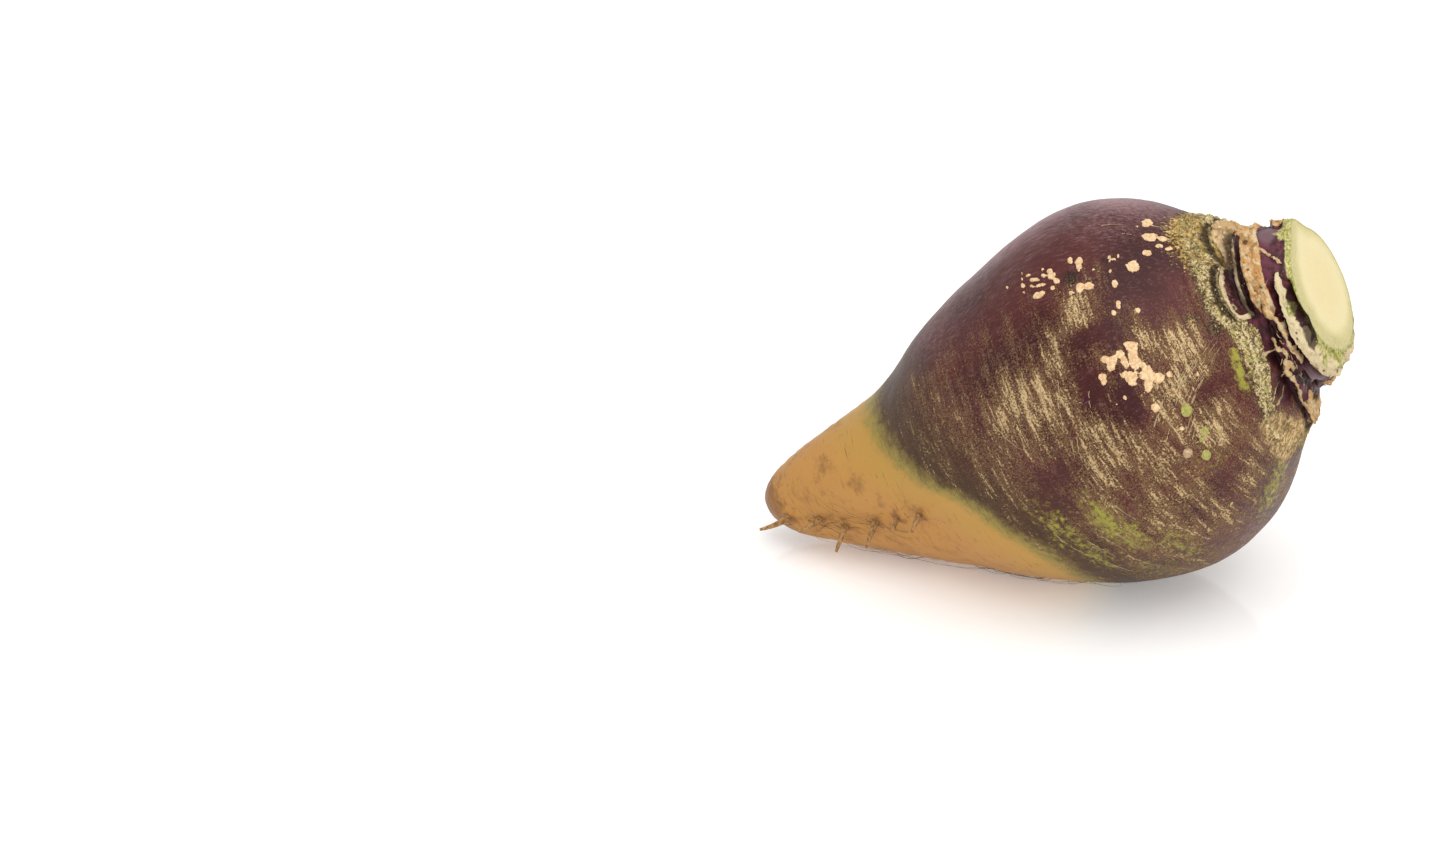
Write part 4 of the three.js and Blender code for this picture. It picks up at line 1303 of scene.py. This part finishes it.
def scratch_lines():
    """Each scratch as a wandering line just over the skin."""
    draw = random_from(SEED + 5)
    steps = np.linspace(0, 1, SCRATCH_POINTS)
    lines = []
    for places in scratch_places():
        start, halfway, end = np.array(places, float)
        angle, station = bezier(start, 2 * halfway - (start + end) / 2, end, SCRATCH_POINTS).T
        phase = between(draw, 0, 6)
        station = station + 0.1 * np.sin(23 * steps + phase) + 0.05 * np.sin(61 * steps + phase)
        lines.append(over_skin(angle, station, 0.02 - 0.1 * (np.sin(17 * steps + 2 * phase) > 0.6)))
    return lines


def rootlet_lines():
    """The side roots' stubs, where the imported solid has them."""
    lines = []
    for angle, station, length, bend in rootlets():
        foot = skin_radius(np.float64(angle), np.float64(station)) - ROOTLET_SUNK
        reach = length + ROOTLET_SUNK
        places = (
            (angle, station, foot),
            (angle, station - 0.1 * length, foot + reach * 0.6),
            (angle + bend, station - 0.7 * length, foot + reach))
        lines.append(bezier(*(section_point(*place) for place in places), ROOTLET_POINTS))
    return lines


def hair_lines(count):
    """Fine root hairs that hug the underside and the furrows, waving as they go, with their thicknesses."""
    draw = random_from(SEED + 3)
    lines = []
    for i in range(count):
        if i % 4:
            angle = between(draw, *HAIR_UNDER_ANGLES)
            station = between(draw, *HAIR_UNDER_STATIONS)
        else:
            angle = FURROW_ANGLES[i // 2 % 2] + either_side(draw, 11)
            station = between(draw, *HAIR_FURROW_STATIONS)
        heading = (180 if i % 3 else 0) + either_side(draw, 25)
        step = between(draw, *HAIR_LENGTHS) / HAIR_STEPS
        angles, stations = [angle], [station]
        for _ in range(HAIR_STEPS):
            heading += either_side(draw, 22)
            radius = max(HAIR_LEAST_RADIUS, float(along(PROFILE, np.float64(station))))
            angle += math.degrees(step * math.sin(math.radians(heading)) / radius)
            station += step * math.cos(math.radians(heading))
            station = max(HAIR_RANGE[0], min(HAIR_RANGE[1], station))
            angles.append(angle)
            stations.append(station)
        waves = np.linspace(0, math.pi * between(draw, 0.6, 1.6), HAIR_STEPS + 1)
        line = over_skin(angles, stations, HAIR_CLEARANCE + HAIR_WAVE * np.abs(np.sin(waves)))
        line[:, 2] = np.maximum(line[:, 2], HAIR_CLEARANCE * MM)
        lines.append(line)
    draw = random_from(SEED + 4)
    return lines, [between(draw, 0.5, 1.5) for _ in lines]


def add_strands(name, lines, finish, radius, sides, taper, sizes=None):
    """Makes lines of points one piece of tapering strands, each with its own thickness."""
    sizes = sizes or [1.0] * len(lines)
    edges, first = [], 0
    for line in lines:
        edges += [(first + i, first + i + 1) for i in range(len(line) - 1)]
        first += len(line)
    mesh = mesh_of(name, np.vstack(lines), [], edges)
    store(mesh, "size", "FLOAT", np.repeat(sizes, [len(line) for line in lines]))
    values = {"Radius": radius, "Sides": sides, "Taper": taper, "Skin": grainy_finish(finish)}
    grow(name, mesh, strand_tree(), values)


# ---- Settings ---------------------------------------------------------------------------------------------


def colour(name, description, hex_colour):
    return bpy.props.FloatVectorProperty(
        name=name, description=description, default=tone(hex_colour), subtype="COLOR", size=3, min=0, max=1)


def length(name, description, mm):
    return bpy.props.FloatProperty(name=name, description=description, default=mm * MM, unit="LENGTH")


class RutabagaLook(bpy.types.PropertyGroup):
    purple: colour("Purple", "Skin of the upper half", "552724")
    deep_purple: colour("Deep purple", "Darker skin", "3b1616")
    # Painted sheen: a lighter mauve highlight laid into the skin's colour.
    painted_sheen_mauve: colour("Painted sheen mauve", "Painted sheen: a mauve highlight and light streaks on the skin", "b08b8e")
    # Partly painted shade: the skin's own dark olive, darkened for the shade on the lower side.
    olive_dark: colour("Dark olive", "Skin where purple turns to green", "402a12")
    olive_green: colour("Olive green", "Skin above the cream root", "958440")
    # Partly painted shade: the lower root's own cream, darkened for the shade on the lower side.
    cream: colour("Cream", "Skin of the lower root", "be9248")
    tan_root: colour("Root tan", "Skin of the tap root", "c08c4c")
    root_tip: colour("Root tip brown", "Bark of the root's tip and side roots", "875a30")
    lime: colour("Lime", "Green blotches", "a3a03e")
    black_green: colour("Black green", "Bruises", "201a12")
    fleck: colour("Fleck", "Corky flecks", "d4b88a")
    fleck_dark: colour("Dark fleck", "Darker corky flecks", "80603c")
    dust: colour("Dust", "Fine brown grains on the skin", "9c7650")
    cork: colour("Cork", "Plates of the corky shoulder", "f0dca8")
    cork_dark: colour("Dark cork", "Darker plates of the corky shoulder", "9c7f45")
    crack: colour("Crack", "Cracks in the cork", "3c2a1c")
    gold: colour("Golden bark", "Soft bark on top of the shoulder", "dab66c")
    gold_dark: colour("Dark golden bark", "Folds of the soft bark", "64502a")
    suede: colour("Suede", "Soft bark under the shoulder", "d6b884")
    suede_dark: colour("Dark suede", "Shaded soft bark", "8a6b42")
    neck_dark: colour("Dark neck", "Skin between the leaf scars", "331417")
    neck_purple: colour("Neck purple", "Lighter skin between the leaf scars", "66303e")
    # Painted sheen: a lighter grey-purple on the raised lobes of the neck.
    painted_lobe_sheen: colour("Painted lobe sheen", "Lobes of the neck", "6e5359")
    scar_pale: colour("Pale scar", "Dry, pale scar tissue", "dcc9a0")
    scar_tan: colour("Tan scar", "Warm scar tissue", "c8955c")
    scar_brown: colour("Brown scar", "Fibres in the scars", "7c5632")
    scar_light: colour("Light scar", "Dry highlights on the scars", "eadab4")
    # Painted shade for the hollows in the scars.
    painted_hole_shade: colour("Painted hole shade", "Hollows in the scars", "523c20")
    # Painted shade for the grooves, hollows and pits.
    painted_groove_shade: colour("Painted groove shade", "Deep grooves and pits", "25100e")
    rim_green: colour("Rim green", "Green rim of the cut", "8d8f41")
    flesh: colour("Flesh", "Cut flesh", "e3d5a4")
    flesh_warm: colour("Warm flesh", "Warmer cut flesh", "e2cd96")
    flesh_rim: colour("Outer flesh", "Cut flesh near the rim", "cfc288")
    floor: colour("Floor", "Pale floor", "f6f5f4")
    floor_shade: colour("Floor shade", "Second tone of the pale floor", "f2f1f0")
    gloss: bpy.props.FloatProperty(
        name="Gloss", description="Roughness of the bare skin", default=0.4, min=0, max=1, subtype="FACTOR")


class RutabagaForm(bpy.types.PropertyGroup):
    warp: length("Warp", "How far the scars and cork are pulled about", 1.1)
    crack_depth: length("Crack depth", "Depth of the cracks in the cork", 0.55)
    fibre_height: length("Fibre height", "Height of the fibres on the scars", 0.5)
    lump_height: length("Lump height", "Height of the skin's broad lumps", 0.9)
    scab_height: length("Scab height", "How far scabs stand out", 0.22)
    scratch_radius: length("Scratch radius", "Thickness of a scratch's corky line", 0.1)
    hair_radius: length("Hair radius", "Thickness of a root hair at its foot", 0.06)
    flake_size: length("Flake size", "Half width of the largest cork flakes", 0.26)
    fibre_radius: length("Fibre radius", "Thickness of a torn fibre on a scar's edge", 0.2)
    hairs: bpy.props.IntProperty(name="Hairs", description="How many root hairs", default=90, min=0)
    seed: bpy.props.IntProperty(name="Seed", description="Picks the random pattern", default=7, min=0)


class RutabagaStage(bpy.types.PropertyGroup):
    azimuth: bpy.props.FloatProperty(
        name="Azimuth", description="Where the camera stands round the root", default=math.radians(15),
        subtype="ANGLE")
    elevation: bpy.props.FloatProperty(
        name="Elevation", description="How high the camera stands", default=math.radians(23), subtype="ANGLE")
    lens: bpy.props.FloatProperty(name="Lens", description="Focal length in millimetres", default=100, min=1)
    key_power: bpy.props.FloatProperty(
        name="Key light", description="Power of the soft light above", default=11)
    fill_power: bpy.props.FloatProperty(
        name="Fill light", description="Power of the soft light in front", default=3)
    sky: bpy.props.FloatProperty(name="Sky", description="Strength of the white surround", default=0.72)


# ---- Operators --------------------------------------------------------------------------------------------


class RUTABAGA_OT_root(bpy.types.Operator):
    """Grows the whole root: body, tap root, corky shoulder, scarred neck and cut face"""
    bl_idname = "rutabaga.root"
    bl_label = "Root"

    def execute(self, context):
        look, form = context.scene.rutabaga_look, context.scene.rutabaga_form
        root = grow("rutabaga_root", skin_mesh(), bark_tree(), {
            "Warp": form.warp,
            "Crack Depth": form.crack_depth,
            "Fibre Height": form.fibre_height,
            "Lump Height": form.lump_height,
            "Seed": form.seed,
            "Skin": skin_finish(look),
            "Flesh": flesh_finish(look)})
        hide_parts("rutabaga")
        return {"FINISHED"}


class RUTABAGA_OT_scabs(bpy.types.Operator):
    """Raises the cream scabs, the lime and dull spots and the pale scratches on the skin"""
    bl_idname = "rutabaga.scabs"
    bl_label = "Scabs, spots and scratches"

    def execute(self, context):
        form = context.scene.rutabaga_form
        # The height is a share of the scabs' own, and ragged is how far noise eats into the plates.
        for name, table, finish, height, ragged in (
                ("scabs", SCABS, "scab_crust", 1.0, 0.3),
                ("lime_spots", LIME_SPOTS, "lime_spot", 0.7, 0.1),
                ("dull_spots", DULL_SPOTS, "dull_spot", 0.5, 0.2)):
            grow(name, crust_mesh(name, table), crust_tree(), {
                "Height": height * form.scab_height,
                "Ragged": ragged,
                "Seed": form.seed,
                "Skin": grainy_finish(finish)})
        add_strands("scratches", scratch_lines(), "scratch_cork", form.scratch_radius, 6, 0.7)
        return {"FINISHED"}


class RUTABAGA_OT_roots(bpy.types.Operator):
    """Adds the stubs of the side roots and the fine root hairs"""
    bl_idname = "rutabaga.roots"
    bl_label = "Side roots and hairs"

    def execute(self, context):
        form = context.scene.rutabaga_form
        add_strands("side_roots", rootlet_lines(), "side_root_bark", ROOTLET_RADIUS * MM, 12, 0.66)
        hairs, sizes = hair_lines(form.hairs)
        add_strands("root_hairs", hairs, "root_hair", form.hair_radius, 5, 0.8, sizes)
        return {"FINISHED"}


class RUTABAGA_OT_flakes(bpy.types.Operator):
    """Scatters cork flakes on the shoulder and crumbs on the leaf scars, and tears the scars' edges"""
    bl_idname = "rutabaga.flakes"
    bl_label = "Flakes, crumbs and torn edges"

    def execute(self, context):
        form = context.scene.rutabaga_form
        root = bpy.data.objects["rutabaga_root"]
        # Density is flakes to a square metre, and long and high are shares of a flake's size.
        for name, finish, density, size, long, high, on_scars in (
                ("cork_flakes", "cork_flake", 2.5e5, 0.7, 2.4, 0.5, False),
                ("scar_crumbs", "scar_crumb", 3e5, 0.5, 1.8, 0.6, True)):
            grow(name, root.data.copy(), flake_tree(), {
                "Density": density,
                "Size": size * form.flake_size,
                "Long": long,
                "High": high,
                "Sides": 6,
                "Seed": form.seed,
                "On Scars": on_scars,
                "Skin": grainy_finish(finish)})
        fibres, sizes = torn_lines()
        add_strands("torn_edges", fibres, "torn_fibre", form.fibre_radius, 5, 0.75, sizes)
        return {"FINISHED"}


class RUTABAGA_OT_stage(bpy.types.Operator):
    """Sets the pale floor, the soft lights and the camera"""
    bl_idname = "rutabaga.stage"
    bl_label = "Stage"

    def execute(self, context):
        stage, look = context.scene.rutabaga_stage, context.scene.rutabaga_look
        context.scene.view_settings.view_transform = "Standard"
        add_floor(look)
        add_lights(stage)
        add_camera(stage)
        return {"FINISHED"}


def add_floor(look):
    half, below = 4.0, -0.0002
    corners = [(-half, -half, below), (half, -half, below), (half, half, below), (-half, half, below)]
    floor = bpy.data.objects.new("floor", mesh_of("floor", corners, [(0, 1, 2, 3)]))
    floor.data.materials.append(floor_finish(look))
    bpy.context.scene.collection.objects.link(floor)


def add_lights(stage):
    world = bpy.data.worlds.new("white_surround")
    bpy.context.scene.world = world
    world.use_nodes = True
    surround = world.node_tree.nodes["Background"].inputs
    surround["Color"].default_value = (1, 1, 1, 1)
    surround["Strength"].default_value = stage.sky
    for name, place, size, power in (
            ("key_light", (0.3, -0.2, 1.3), 1.4, stage.key_power),
            ("fill_light", (0.7, -1.0, 0.7), 0.9, stage.fill_power)):
        light = bpy.data.lights.new(name, "AREA")
        light.size, light.energy = size, power
        lamp = bpy.data.objects.new(name, light)
        lamp.location = place
        lamp.rotation_euler = (Vector(LIGHTS_AIM) - lamp.location).to_track_quat("-Z", "Y").to_euler()
        bpy.context.scene.collection.objects.link(lamp)


def add_camera(stage):
    """The camera looks level past the root, which stands right of the middle, so nothing is shifted."""
    a, e = stage.azimuth, stage.elevation
    back = Vector((math.sin(a) * math.cos(e), -math.cos(a) * math.cos(e), math.sin(e)))
    right = Vector((math.cos(a), math.sin(a), 0))
    up = back.cross(right)
    pixels = stage.lens / SENSOR * IMAGE_WIDTH
    distance = pixels / PIXELS_PER_MM * MM
    aside = (AIM_PIXEL[0] - IMAGE_WIDTH / 2) / pixels * distance
    above = (IMAGE_HEIGHT / 2 - AIM_PIXEL[1]) / pixels * distance
    middle = Vector((-REST_SHIFT, 0, REST_DEPTH)) * MM
    camera = bpy.data.cameras.new("camera")
    camera.lens, camera.sensor_width, camera.sensor_fit = stage.lens, SENSOR, "HORIZONTAL"
    holder = bpy.data.objects.new("camera", camera)
    turned = Matrix((right, up, back)).transposed().to_4x4()
    holder.matrix_world = Matrix.Translation(middle + back * distance - right * aside - up * above) @ turned
    bpy.context.scene.collection.objects.link(holder)
    bpy.context.scene.camera = holder


class RUTABAGA_PT_panel(bpy.types.Panel):
    """Lists the pieces of the rutabaga and their settings"""
    bl_label = "Rutabaga"
    bl_idname = "RUTABAGA_PT_panel"
    bl_space_type = "VIEW_3D"
    bl_region_type = "UI"
    bl_category = "Rutabaga"

    def draw(self, context):
        for key in SETTINGS:
            settings = getattr(context.scene, key)
            box = self.layout.box()
            for name in settings.__annotations__:
                box.prop(settings, name)
        for operator in OPERATORS:
            self.layout.operator(operator.bl_idname)


SETTINGS = {"rutabaga_form": RutabagaForm, "rutabaga_look": RutabagaLook, "rutabaga_stage": RutabagaStage}
OPERATORS = (RUTABAGA_OT_root, RUTABAGA_OT_scabs, RUTABAGA_OT_roots, RUTABAGA_OT_flakes, RUTABAGA_OT_stage)
CLASSES = (*SETTINGS.values(), *OPERATORS, RUTABAGA_PT_panel)


def register():
    for cls in CLASSES:
        bpy.utils.register_class(cls)
    for key, group in SETTINGS.items():
        setattr(bpy.types.Scene, key, bpy.props.PointerProperty(type=group))


def unregister():
    for key in SETTINGS:
        delattr(bpy.types.Scene, key)
    for cls in reversed(CLASSES):
        bpy.utils.unregister_class(cls)


def main():
    register()
    bpy.ops.rutabaga.root()
    bpy.ops.rutabaga.scabs()
    bpy.ops.rutabaga.roots()
    bpy.ops.rutabaga.flakes()
    bpy.ops.rutabaga.stage()


if __name__ == "__main__":
    main()
